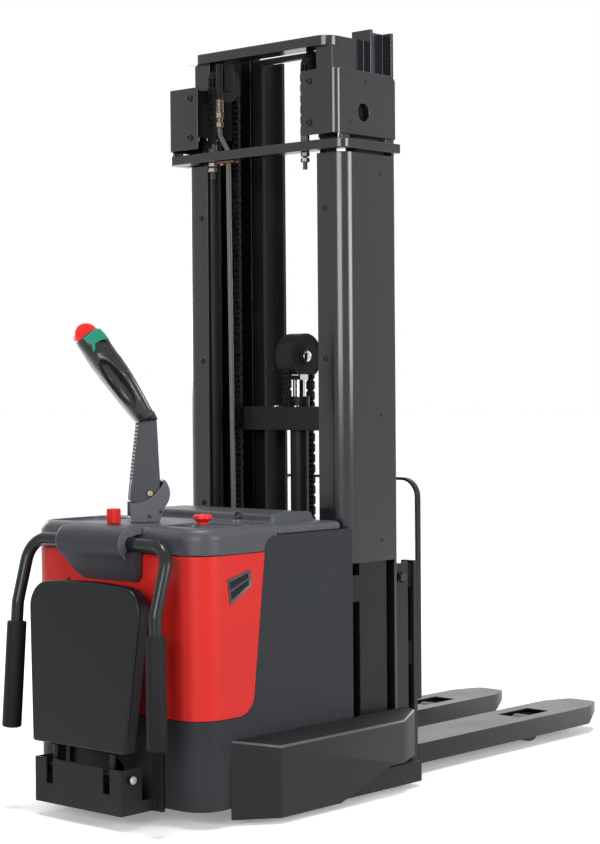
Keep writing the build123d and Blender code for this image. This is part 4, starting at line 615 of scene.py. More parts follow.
# side arms: bent tube with a rubber grip at its lower end
sideArm = {"radius": 0.0173, "bend": 0.062, "gripRadius": 0.027, "gripLength": 0.294, "sink": 0.001,
           "sleeve": 0.01,
           "foot": [(0.006, 0.0), (0.0016, 0.0018), (0.0, 0.006)],      # in from the side, up from the end
           "head": [(0.0, 0.004), (0.0015, 0.001), (0.003, 0.0)],      # in from the side, down from the top
           "route": [(0.065, -0.968, 0.746), (0.276, -0.968, 0.746),
                     (0.274, -1.020, 0.570), (0.290, -1.0332, 0.224)]}


def makeSideArm(spec):
    tube = pipeRun(spec["route"], spec["radius"], spec["bend"], sides=28, steps=12)
    radius, length, core = spec["gripRadius"], spec["gripLength"], spec["radius"] - spec["sink"]
    foot = [(radius - inset, up) for inset, up in spec["foot"]]
    head = [(radius - inset, length - down) for inset, down in spec["head"]]
    grip = spun([(0, 0), *foot, *head, (core, length), (core, length - spec["sleeve"])], 32)
    knee, end = (Vector(point) for point in spec["route"][-2:])
    return gather([(tube, 0), (placed(grip, end, knee - end), 1)])


for node in ("side_arm_left", "side_arm_right"):
    arm = makeSideArm(sideArm)
    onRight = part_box(node)[1][0] > 0
    standIn(node, arm if onRight else mirroredX(arm), ("armPaint", "gripRubber"))
print("side arms done")

# leaf chains: plates and pins on the CAD strands
leafChain = {"pitch": 0.015875, "plate": 0.0046, "spacing": 0.0053, "height": 0.0115, "pin": 0.0028,
             "pinLength": 0.0275, "outer": (-2, 0, 2), "inner": (-1, 1)}
sideChainXs = (-0.185, 0.185)
chainRuns = {
    "side_chains_rear": {"xs": sideChainXs, "y": -0.327, "ends": (1.884, 2.066), "bodies": ("truck", "mid")},
    "side_chains_front": {"xs": sideChainXs, "y": -0.225, "ends": (2.066, 0.225), "bodies": ("mid", "inner")},
    "free_chain_rear": {"xs": (0.0,), "y": -0.208, "ends": (1.100, 1.250), "bodies": ("inner", "ram")},
    "free_chain_front": {"xs": (0.0,), "y": -0.104, "ends": (1.250, 0.150), "bodies": ("ram", "carriage")},
}
chainWrap = {"xs": sideChainXs, "y": -0.276, "z": 2.066, "radius": 0.051, "links": 10}


def chainPlate(length):      # link plate from z 0 to its length, flat across X
    bm = bmesh.new()
    bmesh.ops.create_circle(bm, cap_ends=True, segments=10, radius=leafChain["height"] / 2)
    bmesh.ops.translate(bm, vec=(0, length, 0), verts=[vert for vert in bm.verts if vert.co.y > 1e-5])
    onWall(raiseFaces(bm, leafChain["plate"]), -leafChain["plate"] / 2)
    bmesh.ops.recalc_face_normals(bm, faces=bm.faces)
    return bm


def chainBay(layers, length):      # the plates of one pitch and the pin at its foot
    radius, pinLength = leafChain["pin"], leafChain["pinLength"]
    pin = bmesh.new()
    bmesh.ops.create_cone(pin, cap_ends=True, segments=8, radius1=radius, radius2=radius, depth=pinLength)
    plates = [(placed(chainPlate(length), (layer * leafChain["spacing"], 0, 0)), 0) for layer in layers]
    return gather([*plates, (placed(pin, (0, 0, 0), (1, 0, 0)), 0)])


def chainStrand(x, y, low, high):
    pitch = leafChain["pitch"]
    count = max(1, round((high - low) / (2 * pitch)))
    upper = placed(chainBay(leafChain["inner"], pitch), (0, 0, pitch))
    bm = gather([(chainBay(leafChain["outer"], pitch), 0), (upper, 0)])
    first = bm.verts[:] + bm.edges[:] + bm.faces[:]
    for step in range(1, count):
        copied = bmesh.ops.duplicate(bm, geom=first)["geom"]
        bmesh.ops.translate(bm, vec=(0, 0, step * 2 * pitch), verts=onlyVerts(copied))
    bmesh.ops.scale(bm, vec=(1, 1, (high - low) / (count * 2 * pitch)), verts=bm.verts)
    bmesh.ops.translate(bm, vec=(x, y, low), verts=bm.verts)
    return bm


def makeRun(node, spec):      # strands that stretch from the first body to the second
    low, high = sorted(spec["ends"])
    strands = gather([(chainStrand(x, spec["y"], low, high), 0) for x in spec["xs"]])
    start, end = ((spec["xs"][0], spec["y"], z) for z in spec["ends"])
    stretchedPiece(node, strands, "chainSteel", spec["bodies"], start, end)


def makeWrap(spec, x):      # links over the top of one sheave
    radius, step = spec["radius"], pi / spec["links"]
    parts = []
    for link in range(spec["links"]):
        angle = link * step
        bay = chainBay(leafChain["outer" if link % 2 else "inner"], 2 * radius * sin(step / 2))
        at = (x, spec["y"] - radius * cos(angle), spec["z"] + radius * sin(angle))
        parts.append((moved(bay, Matrix.Translation(at) @ Matrix.Rotation(-angle - step / 2, 4, "X")), 0))
    return gather(parts)


for node, spec in chainRuns.items():
    makeRun(node, spec)
standIn("chain_wraps", gather([(makeWrap(chainWrap, x), 0) for x in chainWrap["xs"]]), "chainSteel")
print("chains done")

# chain anchors: threaded rod, lock nuts and eye
chainAnchor = {"xs": sideChainXs, "y": -0.327, "rod": 0.007, "low": 1.780, "thread": 0.0035, "core": 0.86,
               "nuts": (1.801, 1.817), "nutRadius": 0.013, "nutHeight": 0.0125,
               "eye": (1.857, 1.884), "eyeHalf": (0.013, 0.006), "eyeEdge": 0.002, "overlap": 0.002}


def makeAnchor(spec, x):
    y, rod, pitch = spec["y"], spec["rod"], spec["thread"]
    low, high = spec["eye"]
    halfX, halfY = spec["eyeHalf"]
    thread = [(0, spec["low"])]
    for turn in range(int((low - spec["low"]) / pitch)):
        z = spec["low"] + turn * pitch
        thread += [(rod * spec["core"], z), (rod, z + pitch / 2)]
    thread += [(rod, low + spec["overlap"]), (0, low + spec["overlap"])]
    nuts = [(placed(hexNut(spec["nutRadius"], spec["nutHeight"]), (x, y, z)), 0) for z in spec["nuts"]]
    eye = bar((x - halfX, y - halfY, low), (x + halfX, y + halfY, high), spec["eyeEdge"])
    return gather([(placed(spun(thread, 14), (x, y, 0)), 0), *nuts, (eye, 0)])


standIn("chain_anchors", gather([(makeAnchor(chainAnchor, x), 0) for x in chainAnchor["xs"]]), "dullZinc")

# mast pipe with its fittings and the short hose above them
mastPipe = {"radius": 0.007, "bend": 0.024, "top": (-0.150, -0.332),
            "route": [(-0.104, -0.332, 0.600), (-0.104, -0.332, 0.628), (-0.116, -0.332, 1.857),
                      (-0.150, -0.332, 1.908), (-0.150, -0.332, 1.932)],
            "lowerNut": (0.0125, 0.016, 1.930), "collar": (0.009, 0.012, 1.946),      # radius, height, foot
            "upperNut": (0.0135, 0.018, 1.957)}
pipeSleeve = {"z": 1.975, "top": 0.037, "count": 4, "pitch": 0.0095,
              "groove": [(0.0118, 0.0), (0.0118, 0.007), (0.0106, 0.0078), (0.0106, 0.0090)]}
pipeClamp = {"low": (-0.150, -0.345, 1.822), "high": (-0.085, -0.320, 1.829), "edge": 0.001,
             "nut": (0.007, 0.005), "nutAt": (-0.140, -0.333, 1.817)}
mastHose = {"radius": 0.009, "low": 2.012, "high": 2.119, "rings": 20,
            "ring": [(0.93, 0.1), (1.0, 0.35), (1.0, 0.65), (0.93, 0.9)]}      # shares of radius and pitch


def makeNut(spec, at):
    radius, height, foot = spec
    return placed(hexNut(radius, height), (*at, foot))


def makeCollar(spec, at):
    radius, height, foot = spec
    return placed(spun([(0, 0), (radius, 0), (radius, height), (0, height)], 16), (*at, foot))


def makeSleeve(spec, at):      # crimped sleeve with round grooves
    feet = [turn * spec["pitch"] for turn in range(spec["count"])]
    grooves = [(radius, foot + z) for foot in feet for radius, z in spec["groove"]]
    return placed(spun([(0, 0), *grooves, (0, spec["top"])], 20), (*at, spec["z"]))


def makePipe(spec):
    at = spec["top"]
    fittings = [makeNut(spec["lowerNut"], at), makeCollar(spec["collar"], at), makeNut(spec["upperNut"], at),
                makeSleeve(pipeSleeve, at)]
    clamp = [bar(pipeClamp["low"], pipeClamp["high"], pipeClamp["edge"]),
             placed(hexNut(*pipeClamp["nut"]), pipeClamp["nutAt"])]
    pipe = pipeRun(spec["route"], spec["radius"], spec["bend"], sides=16, steps=6)
    return gather([(pipe, 0)] + [(part, 1) for part in fittings] + [(part, 2) for part in clamp])


def makeHose(spec):
    pitch = (spec["high"] - spec["low"]) / spec["rings"]
    rings = [(spec["radius"] * width, spec["low"] + (turn + rise) * pitch)
             for turn in range(spec["rings"]) for width, rise in spec["ring"]]
    return placed(spun([(0, spec["low"]), *rings, (0, spec["high"])], 18), (*mastPipe["top"], 0))


standIn("hydraulic_pipe", makePipe(mastPipe), ("pipeGrey", "fittingZinc", "clampCopper"))
hoseEnds = [(*mastPipe["top"], mastHose[end]) for end in ("low", "high")]
stretchedPiece("mast_hose", makeHose(mastHose), "hoseRubber", ("truck", "mid"), *hoseEnds)
print("anchors, pipe and hose done")

# screws with sockets on covers, caps, rear panel and crossmember
screwForm = {"height": 0.6,      # of the radius
             "profile": [(0, 0.4), (0.48, 0.4), (0.5, 1), (0.7, 1), (0.92, 0.8), (1, 0.35), (1, 0), (0, 0)]}
coverScrews = {
    "rear": {"radius": 0.008, "axis": (0, -1, 0),
             "places": [(0.2465, -0.316, z) for z in (1.667, 1.238, 0.812)]},
    "side": {"radius": 0.005, "axis": (1, 0, 0),
             "places": [(0.320, -0.155, z) for z in (1.770, 1.075, 0.715)]},
    "capSide": {"radius": 0.005, "axis": (1, 0, 0),
                "places": [(0.338, -0.235, 2.025), (0.338, -0.304, 1.905)]},
    "cap": {"radius": 0.010, "axis": (0, -1, 0), "places": [(0.238, -0.369, z) for z in (2.022, 1.905)]},
}
panelScrews = {"radius": 0.006, "axis": (0, -1, 0), "places": [(x, -0.920, 0.631) for x in (-0.175, 0.175)]}
crossScrews = {"radius": 0.008, "axis": (0, 0, 1), "places": [(x, -0.206, 1.0995) for x in (-0.048, 0.033)]}


def screwHead(radius, at, axis):
    height = radius * screwForm["height"]
    return placed(spun([(radius * out, height * up) for out, up in screwForm["profile"]], 18), at, axis)


def screwRow(spec):
    return gather([(screwHead(spec["radius"], at, spec["axis"]), 0) for at in spec["places"]])


rightScrews = gather([(screwRow(spec), 0) for spec in coverScrews.values()])
standIn("cover_screws", bothSides(rightScrews), "screwBlack")
fitting("panelScrews", screwRow(panelScrews), "screwBlack", "cover_screws")
fitting("crossScrews", screwRow(crossScrews), "boltBrass", "inner_mast")
print("screws done")

# side vents: frame, recess and two rows of short ribs
sideVent = {"corners": [(-0.820, 0.652), (-0.733, 0.673), (-0.728, 0.631), (-0.811, 0.584)], "face": 0.337,
            "depth": 0.005, "frame": 0.006, "recess": 0.0025, "rows": [(0.14, 0.46), (0.54, 0.86)],
            "back": (0.10, 0.90), "sink": 0.002, "backDepth": 0.0022, "ribs": 12, "firstRib": 0.13,
            "ribSpan": 0.74, "ribHalf": 0.014, "ribGap": 0.02, "ribDepth": 0.0038}


def ventPoint(spec, u, v):      # shares across and down the four corners
    a, b, c, d = (Vector(corner) for corner in spec["corners"])
    return tuple(a.lerp(b, u).lerp(d.lerp(c, u), v))


def ventPlate(spec, us, vs, face, depth):      # four sided plate on the side wall
    ends = [(us[0], vs[0]), (us[1], vs[0]), (us[1], vs[1]), (us[0], vs[1])]
    return onWall(prism([ventPoint(spec, u, v) for u, v in ends], depth), face)


def makeVent(spec):
    panel = ventPlate(spec, (0, 1), (0, 1), spec["face"], spec["depth"])
    panel.normal_update()
    front = [face for face in panel.faces if face.normal.x > outright]
    bmesh.ops.inset_region(panel, faces=front, thickness=spec["frame"], depth=-spec["recess"])
    parts = [(panel, 0)]
    foot = spec["face"] + spec["depth"] - spec["recess"] - spec["sink"]
    for low, high in spec["rows"]:
        parts.append((ventPlate(spec, spec["back"], (low, high), foot, spec["backDepth"]), 1))
        ribEnds = (low + spec["ribGap"], high - spec["ribGap"])
        for rib in range(spec["ribs"]):
            u = spec["firstRib"] + rib * spec["ribSpan"] / (spec["ribs"] - 1)
            ribSides = (u - spec["ribHalf"], u + spec["ribHalf"])
            parts.append((ventPlate(spec, ribSides, ribEnds, foot, spec["ribDepth"]), 2))
    return gather(parts)


standIn("side_vents", bothSides(makeVent(sideVent)), ("coverGrey", "screwBlack", "shellGrey"))
print("vents done")

# controls on the top cover
pullRecess = {"at": (-0.008, -0.903), "size": (0.056, 0.040), "z": 0.7860, "rise": 0.0045, "edge": 0.0008}
switchKey = {"at": (0.214, -0.646), "low": 0.784, "rose": 0.013, "roseEdge": [(0.0, 0.003), (0.002, 0.005)],
             "shaft": 0.0045, "shaftEnds": (0.006, 0.018), "bow": 0.0085, "wire": 0.0046, "wireSides": 14,
             "center": 0.8085, "facing": (0.35, -1, 0)}
emergencyStop = {
    "at": (0.212, -0.782), "stem": 0.0152, "head": 0.026, "low": 0.774, "under": 0.801, "top": 0.818,
    "neck": [(0.0, -0.004), (0.003, -0.001)],      # out from the stem, up from the underside
    "rim": [(0.003, 0.003), (0.0, 0.006), (0.0, 0.010)],      # in from the side, up from the underside
    "crown": [(0.0015, 0.0035), (0.005, 0.0008), (0.009, 0.0), (0.0105, 0.0012)],      # in, down from the top
    "dish": 0.0016}


def makeRecess(spec):      # dark plate round the pull handle's foot, as painted shade of the slit round it
    (x, y), (width, depth) = spec["at"], spec["size"]
    low = (x - width / 2, y - depth / 2, spec["z"])
    return bar(low, (x + width / 2, y + depth / 2, spec["z"] + spec["rise"]), spec["edge"])


def makeKey(spec):      # rose, shaft and ring bow that faces the driver
    edge = [(spec["rose"] - inset, up) for inset, up in spec["roseEdge"]]
    shaft = [(spec["shaft"], z) for z in spec["shaftEnds"]]
    rose = spun([(0, 0), (spec["rose"], 0), *edge, *shaft, (0, spec["shaftEnds"][1])], 28)
    turns = [2 * pi * side / spec["wireSides"] for side in range(spec["wireSides"])]
    wire = [(spec["bow"] + spec["wire"] * cos(turn), spec["wire"] * sin(turn)) for turn in turns]
    bow = spun(wire, 32, closed=True)
    placed(rose, (*spec["at"], spec["low"]))
    placed(bow, (*spec["at"], spec["center"]), Vector(spec["facing"]).normalized())
    return gather([(rose, 0), (bow, 1)])


def makeStop(spec):
    stem, head, low, under, top = (spec[key] for key in ("stem", "head", "low", "under", "top"))
    neck = [(stem + out, under + up) for out, up in spec["neck"]]
    rim = [(head - inset, under + up) for inset, up in spec["rim"]]
    crown = [(head - inset, top - down) for inset, down in spec["crown"]]
    profile = [(0, low), (stem, low), *neck, *rim, *crown, (0, top - spec["dish"])]
    return placed(spun(profile, 40), (*spec["at"], 0))


fitting("controlRecess", makeRecess(pullRecess), "screwBlack", "top_cover")
standIn("switch_key", makeKey(switchKey), ("dullZinc", "screwBlack"))
standIn("estop_button", makeStop(emergencyStop), "controlRed")

# mouldings melted from their CAD form: finish, voxel in metres and rounds of smoothing
mouldings = {
    "top_cover": ("coverGrey", 0.0034, 3), "battery_cover": ("coverGrey", 0.0034, 8),
    "arm_holder": ("holderBlack", 0.0030, 4), "belly_button": ("controlRed", 0.0016, 6),
    "butterfly_switch": ("switchGreen", 0.0012, 4),
}
holderEnd = {"turned": 0.6, "top": 0.757, "back": -0.985, "foot": 0.705}


def endLip(center, normal):      # the bent lip at each end of the arm holder
    outer = center.z > holderEnd["top"] or center.y < holderEnd["back"]
    return abs(normal.x) > holderEnd["turned"] and outer and center.z > holderEnd["foot"]


mouldedPieces = {node: standIn(node, melted(copyNode(node), voxel, rounds), finish, smoothAngle=60.0)
                 for node, (finish, voxel, rounds) in mouldings.items()}
repaint(mouldedPieces["arm_holder"], "cupGrey", endLip)

# hook shaped lips round the side arms at the holder's ends
holderLip = {"center": (-0.968, 0.746), "outer": 0.0425, "inner": 0.0188, "end": 142.0, "steps": 24,
             "front": -0.926, "rise": 0.006, "face": 0.1235, "depth": 0.0033, "edge": 0.0008}


def makeLip(spec):
    (y, z), outer, inner = spec["center"], spec["outer"], spec["inner"]
    turns = [radians(spec["end"] * step / spec["steps"]) for step in range(spec["steps"] + 1)]
    outline = [(y - outer * sin(turn), z + outer * cos(turn)) for turn in turns]
    outline += [(y - inner * sin(turn), z + inner * cos(turn)) for turn in reversed(turns)]
    outline += [(spec["front"], z + inner + spec["rise"]), (spec["front"], z + outer)]
    return onWall(prism(outline, spec["depth"]), spec["face"])


bevelEdges(fitting("holderLips", bothSides(makeLip(holderLip)), "cupGrey", "arm_holder"), holderLip["edge"])
print("controls and mouldings done")

# tiller: moulded head on the CAD root, in the straight frame and then turned with the steering
steering = {"y": -0.780, "turn": -36.0}
headSections = [      # height along the head, half width, half depth and offset
    (0.006, 0.055, 0.0275, 0.000), (0.030, 0.0638, 0.0297, 0.000), (0.060, 0.0720, 0.0326, 0.001),
    (0.090, 0.0771, 0.0350, 0.002), (0.120, 0.0798, 0.0372, 0.003), (0.150, 0.0800, 0.0390, 0.003),
    (0.180, 0.0775, 0.0400, 0.003), (0.205, 0.0740, 0.0400, 0.002), (0.230, 0.0665, 0.0400, 0.003),
    (0.248, 0.0560, 0.0405, 0.005), (0.264, 0.0490, 0.0400, 0.005), (0.276, 0.0450, 0.0375, 0.003),
    (0.288, 0.0420, 0.0330, 0.000)]
tillerHead = {"root": (0.004, 1.071), "tip": (0.168, 1.303), "low": 0.012, "square": 2.6, "voxel": 0.0022,
              "rounds": 5, "scoopAt": (0.084, -0.0150, 0.130), "scoopSize": (0.046, 0.0265, 0.088)}
wheelTurn = Matrix.Rotation(radians(steering["turn"]), 4, "Z")
steerAxis = Matrix.Translation((0, steering["y"], 0))
steerTurn = steerAxis @ wheelTurn @ steerAxis.inverted()


def sidePoint(half, reach, z):      # straight-ahead place: half width, distance behind the axis, height
    return (half, steering["y"] - reach, z)


def loftHead(sections, square):      # rounded sections drawn along the head
    bm = bmesh.new()
    bmesh.ops.create_circle(bm, cap_ends=True, segments=48, radius=1)
    for vert in bm.verts:
        vert.co.xy = [abs(value) ** (2 / square) * (1 if value > 0 else -1) for value in vert.co.xy]
    edges = bm.edges[:]
    last = Matrix()
    for index, (height, width, depth, offset) in enumerate(sections):
        here = Matrix.Translation((0, offset, height)) @ Matrix.Diagonal((width, depth, 1, 1))
        verts = bm.verts[:]
        if index:
            new = bmesh.ops.extrude_edge_only(bm, edges=edges)["geom"]
            edges = onlyEdges(new)
            verts = onlyVerts(new)
        bmesh.ops.transform(bm, matrix=here @ last.inverted(), verts=verts)
        last = here
    bmesh.ops.edgeloop_fill(bm, edges=edges)
    bmesh.ops.recalc_face_normals(bm, faces=bm.faces)
    return bm


def cutRoot(headFrame, low):      # the CAD head's foot, up to this height along it
    root = moved(copyNode("tiller_head"), headFrame.inverted())
    geom = root.verts[:] + root.edges[:] + root.faces[:]
    bmesh.ops.bisect_plane(root, geom=geom, plane_co=(0, 0, low), plane_no=(0, 0, 1), clear_outer=True)
    bmesh.ops.holes_fill(root, edges=[edge for edge in root.edges if edge.is_boundary])
    return root


def makeHead(spec):      # moulding with a finger scoop on each side
    (rootReach, rootZ), (tipReach, tipZ) = spec["root"], spec["tip"]
    across = Vector((1, 0, 0))
    along = Vector((0, rootReach - tipReach, tipZ - rootZ)).normalized()
    turn = Matrix((across, along.cross(across), along)).transposed().to_4x4()
    headFrame = steerTurn @ Matrix.Translation(sidePoint(0, rootReach, rootZ)) @ turn
    solid = gather([(loftHead(headSections, spec["square"]), 0), (cutRoot(headFrame, spec["low"]), 0)])
    scoop = bmesh.new()
    bmesh.ops.create_uvsphere(scoop, u_segments=32, v_segments=20, radius=1)
    moved(scoop, Matrix.Translation(spec["scoopAt"]) @ Matrix.Diagonal((*spec["scoopSize"], 1)))
    return moved(melted(solid, spec["voxel"], spec["rounds"], bothSides(scoop)), headFrame)


standIn("tiller_head", makeHead(tillerHead), "headBlack", smoothAngle=70.0)

# bolts, plugs, screws and ribs on the tiller: places are distances behind the steering axis and heights
tillerBolt = {"half": 0.0315, "places": [(0.0, 0.869)],
              "head": {"radius": 0.0080, "wall": 0.0035, "rim": 0.0045, "inset": 0.001, "middle": 0.0045},
              "slotLow": (-0.0068, -0.0008, 0.0044), "slotHigh": (0.0068, 0.0008, 0.0049)}
armPlug = {"half": 0.031, "places": [(-0.001, 0.920), (-0.012, 0.918)],
           "profile": [(0, 0.0006), (0.0024, 0.0006), (0.003, 0.0002), (0.003, -0.002), (0, -0.002)]}
cupScrew = {"half": 0.0402, "places": [(0.003, 0.807), (-0.028, 0.820)], "radius": 0.0045}
armRib = {"low": (0.0478, 0.910), "high": (0.0302, 1.060), "half": 0.020, "count": 16, "proud": 0.002,
          "sunk": 0.003, "rise": 0.0025, "edge": 0.001}


def slottedBolt(spec):
    slot = bar(spec["slotLow"], spec["slotHigh"])
    return gather([(turnedCap(spec["head"], 24), 0), (slot, 1)])


def onCheeks(spec, make):      # one on each side at every place, turned with the steering
    parts = []
    for side in (-1, 1):
        for reach, z in spec["places"]:
            parts.append((placed(make(), sidePoint(side * spec["half"], reach, z), (side, 0, 0)), None))
    return moved(gather(parts), steerTurn)


def makeRibs(spec):
    low, high = Vector(spec["low"]), Vector(spec["high"])
    strips = []
    for rib in range(spec["count"]):
        reach, z = low.lerp(high, rib / (spec["count"] - 1))
        back = sidePoint(-spec["half"], reach + spec["proud"], z - spec["rise"])
        front = sidePoint(spec["half"], reach - spec["sunk"], z + spec["rise"])
        strips.append((bar(back, front, spec["edge"]), 0))
    return moved(gather(strips), steerTurn)


def cupHead():
    return screwHead(cupScrew["radius"], (0, 0, 0), (0, 0, 1))


boltPair = onCheeks(tillerBolt, lambda: slottedBolt(tillerBolt))
fitting("tillerBolts", boltPair, ("boltBrass", "screwBlack"), "tiller_arm")
fitting("armPlugs", onCheeks(armPlug, lambda: spun(armPlug["profile"], 16)), "screwBlack", "tiller_arm")
fitting("columnScrews", onCheeks(cupScrew, cupHead), "screwBlack", "steering_column")
fitting("armRibs", makeRibs(armRib), "gripRubber", "tiller_head")
print("tiller done")

# sheave guard: round shell cut flat below, and its bright hub
sheaveGuard = {"y": -0.156, "z": 1.250, "radius": 0.068, "half": 0.032, "drop": 0.054, "rim": 0.007,
               "slope": 0.002, "recess": 0.0025, "edge": 0.0012, "bossSunk": 0.003, "hubProud": 0.0008,
               "boss": {"radius": 0.024, "wall": 0.004, "rim": 0.0055, "inset": 0.002, "middle": 0.0055},
               "hub": {"radius": 0.0165, "wall": 0.003, "rim": 0.004, "inset": 0.0015, "middle": 0.0042}}


def makeGuard(spec):
    y, z, half, drop = (spec[key] for key in ("y", "z", "half", "drop"))
    bm = bmesh.new()
    bmesh.ops.create_circle(bm, cap_ends=True, segments=48, radius=spec["radius"])
    low = [vert for vert in bm.verts if vert.co.y < -drop]
    bmesh.ops.scale(bm, vec=(1, 0, 1), verts=low)
    bmesh.ops.translate(bm, vec=(0, -drop, 0), verts=low)
    raiseFaces(bm, 2 * half)
    bmesh.ops.recalc_face_normals(bm, faces=bm.faces)
    for facing in (-1, 1):
        face = [face for face in bm.faces if face.normal.z * facing > outright]
        bmesh.ops.inset_region(bm, faces=face, thickness=spec["rim"], depth=0.0)
        bmesh.ops.inset_region(bm, faces=face, thickness=spec["slope"], depth=-spec["recess"])
    parts = [(onWall(bm, -half, y, z), 0)]
    for side in (-1, 1):
        boss = placed(turnedCap(spec["boss"], 28), (side * (half - spec["bossSunk"]), y, z), (side, 0, 0))
        hub = placed(turnedCap(spec["hub"], 28), (side * (half + spec["hubProud"]), y, z), (side, 0, 0))
        parts += [(boss, 0), (hub, 1)]
    return gather(parts)


bevelEdges(standIn("sheave_guard", makeGuard(sheaveGuard), ("railBlack", "chromeRod")), sheaveGuard["edge"])

# body trim: the side panel's rounded upper corner over the top cover's edge, and the strip at its foot
panelCorner = {"center": (-0.632, 0.722), "reach": (0.041, 0.035), "steps": 16, "end": -0.612, "low": 0.711,
               "face": 0.3385, "depth": 0.0023, "seam": 0.0014, "seamSunk": 0.0004}
cornerStrip = {"low": (0.3335, -0.846, 0.0455), "high": (0.3395, -0.806, 0.205), "edge": 0.001}


def cornerPlate(spec, grow, depth):
    y, z = spec["center"]
    across, up = (reach + grow for reach in spec["reach"])
    turns = [pi / 2 * step / spec["steps"] for step in range(spec["steps"] + 1)]
    outline = [(y - across, spec["low"])]
    outline += [(y - across * cos(turn), z + up * sin(turn)) for turn in turns]
    outline += [(spec["end"], z + up), (spec["end"], spec["low"])]
    return onWall(prism(outline, depth), spec["face"])


def makeCorner(spec):      # plate and the dark seam that shows round it
    plate = cornerPlate(spec, 0.0, spec["depth"])
    seam = cornerPlate(spec, spec["seam"], spec["depth"] - spec["seamSunk"])
    return gather([(plate, 0), (seam, 1)])


strip = bar(cornerStrip["low"], cornerStrip["high"], cornerStrip["edge"])
fitting("panelCorners", bothSides(makeCorner(panelCorner)), ("shellGrey", "screwBlack"), "body_shell")
fitting("cornerStrips", bothSides(strip), "shellGrey", "body_shell")

# carriage knob, platform mat and hinge pin heads
columnKnob = {"at": (0.285, -0.038, 0.597), "radius": 0.014, "lobes": 6, "wave": 0.16, "points": 48,
              "foot": 0.006, "depth": 0.018, "neck": [(0, 0), (0.007, 0), (0.006, 0.007), (0, 0.007)]}
platformMat = {"pin": (-1.016, 0.132), "lean": -3.5, "face": -1.010, "half": 0.150, "low": 0.240,
               "high": 0.580, "back": (0.002, 0.0015), "backEdge": 0.001, "count": 13, "firstRib": 0.25,
               "ribInset": 0.008, "ribHeight": 0.004, "ribEdge": 0.0015}
hingePin = {"x": 0.179, "y": -1.016, "z": 0.132,
            "head": {"radius": 0.0115, "wall": 0.003, "rim": 0.005, "inset": 0.002, "middle": 0.0055}}


def makeKnob(spec):      # lobed head on a short neck
    turns = [2 * pi * step / spec["points"] for step in range(spec["points"])]
    reaches = [spec["radius"] * (1 + spec["wave"] * cos(spec["lobes"] * turn)) for turn in turns]
    star = [(reach * cos(turn), reach * sin(turn)) for reach, turn in zip(reaches, turns)]
    head = placed(prism(star, spec["depth"] - spec["foot"]), (0, 0, spec["foot"]))
    return placed(gather([(head, 0), (spun(spec["neck"], 20), 0)]), spec["at"], (1, 0, 0))


def makeMat(spec):      # ribbed mat on the folded platform's tread
    pitch = (spec["high"] - spec["low"]) / spec["count"]
    face, half, ribHalf = spec["face"], spec["half"], spec["half"] - spec["ribInset"]
    behind, before = spec["back"]
    mat = bar((-half, face - behind, spec["low"]), (half, face + before, spec["high"]), spec["backEdge"])
    parts = [(mat, 0)]
    for rib in range(spec["count"]):
        z = spec["low"] + (rib + spec["firstRib"]) * pitch
        top = (ribHalf, face + spec["ribHeight"], z + pitch / 2)
        parts.append((bar((-ribHalf, face, z), top, spec["ribEdge"]), 0))
    pin = Matrix.Translation((0, *spec["pin"]))
    return moved(gather(parts), pin @ Matrix.Rotation(radians(spec["lean"]), 4, "X") @ pin.inverted())


def makePinHeads(spec):
    heads = []
    for side in (-1, 1):
        at = (side * spec["x"], spec["y"], spec["z"])
        heads.append((placed(turnedCap(spec["head"], 24), at, (side, 0, 0)), 0))
    return gather(heads)


fitting("columnKnob", makeKnob(columnKnob), "screwBlack", "carriage_frame")
fitting("platformMat", makeMat(platformMat), "gripRubber", "platform")
fitting("hingePins", makePinHeads(hingePin), "brightSteel", "platform_bracket")
print("platform and pins done")

# wheels: cast hub and bonded tyre
loadWheel = {"at": (0.1925, 0.711, 0.042), "radius": 0.042, "width": 0.070, "hub": 0.030, "axle": 0.010}
castorWheel = {"at": (0.312, -0.555, 0.0625), "radius": 0.0625, "width": 0.050, "hub": 0.042, "axle": 0.010}
driveWheel = {"at": (0, -0.780, 0.105), "radius": 0.105, "width": 0.070, "hub": 0.080, "axle": 0.022}
wheels = {"load_wheel_left": (loadWheel, -1), "load_wheel_right": (loadWheel, 1),
          "castor_wheel_left": (castorWheel, -1), "castor_wheel_right": (castorWheel, 1),
          "drive_wheel": (driveWheel, 1)}
wheelForm = {"seam": 0.003, "webSunk": 0.012, "lip": (0.003, 0.005),
             "shoulder": [(0.005, 0.0), (0.0012, 0.002), (0.0, 0.006)],      # in from the tread and the side
             "boss": [(0.0, 0.002), (0.006, 0.002), (0.008, 0.008)]}      # out from the axle, in from a side


def mirroredRing(half, steps):      # closed ring from one side's profile
    return spun([(radius, -z) for radius, z in half] + half[::-1], steps, closed=True)


def makeWheel(spec):
    radius, hub, axle, side = spec["radius"], spec["hub"], spec["axle"], spec["width"] / 2
    seam = (hub, side - wheelForm["seam"])
    lipIn, lipSunk = wheelForm["lip"]
    shoulder = [(radius - inset, side - sunk) for inset, sunk in wheelForm["shoulder"]]
    boss = [(axle + out, side - sunk) for out, sunk in wheelForm["boss"]]
    web = [((hub + axle) / 2, side - wheelForm["webSunk"]), (hub - lipIn, side - lipSunk)]
    tyre = mirroredRing([seam, *shoulder], 48)
    core = mirroredRing([*boss, *web, seam], 40)
    return placed(gather([(tyre, 0), (core, 1)]), (0, 0, 0), (1, 0, 0))


for node, (spec, side) in wheels.items():
    x, y, z = spec["at"]
    turn = wheelTurn if node == "drive_wheel" else Matrix()
    wheel = moved(makeWheel(spec), Matrix.Translation((side * x, y, z)) @ turn)
    standIn(node, wheel, ("tyreBrown", "brightSteel"))
print("wheels done")

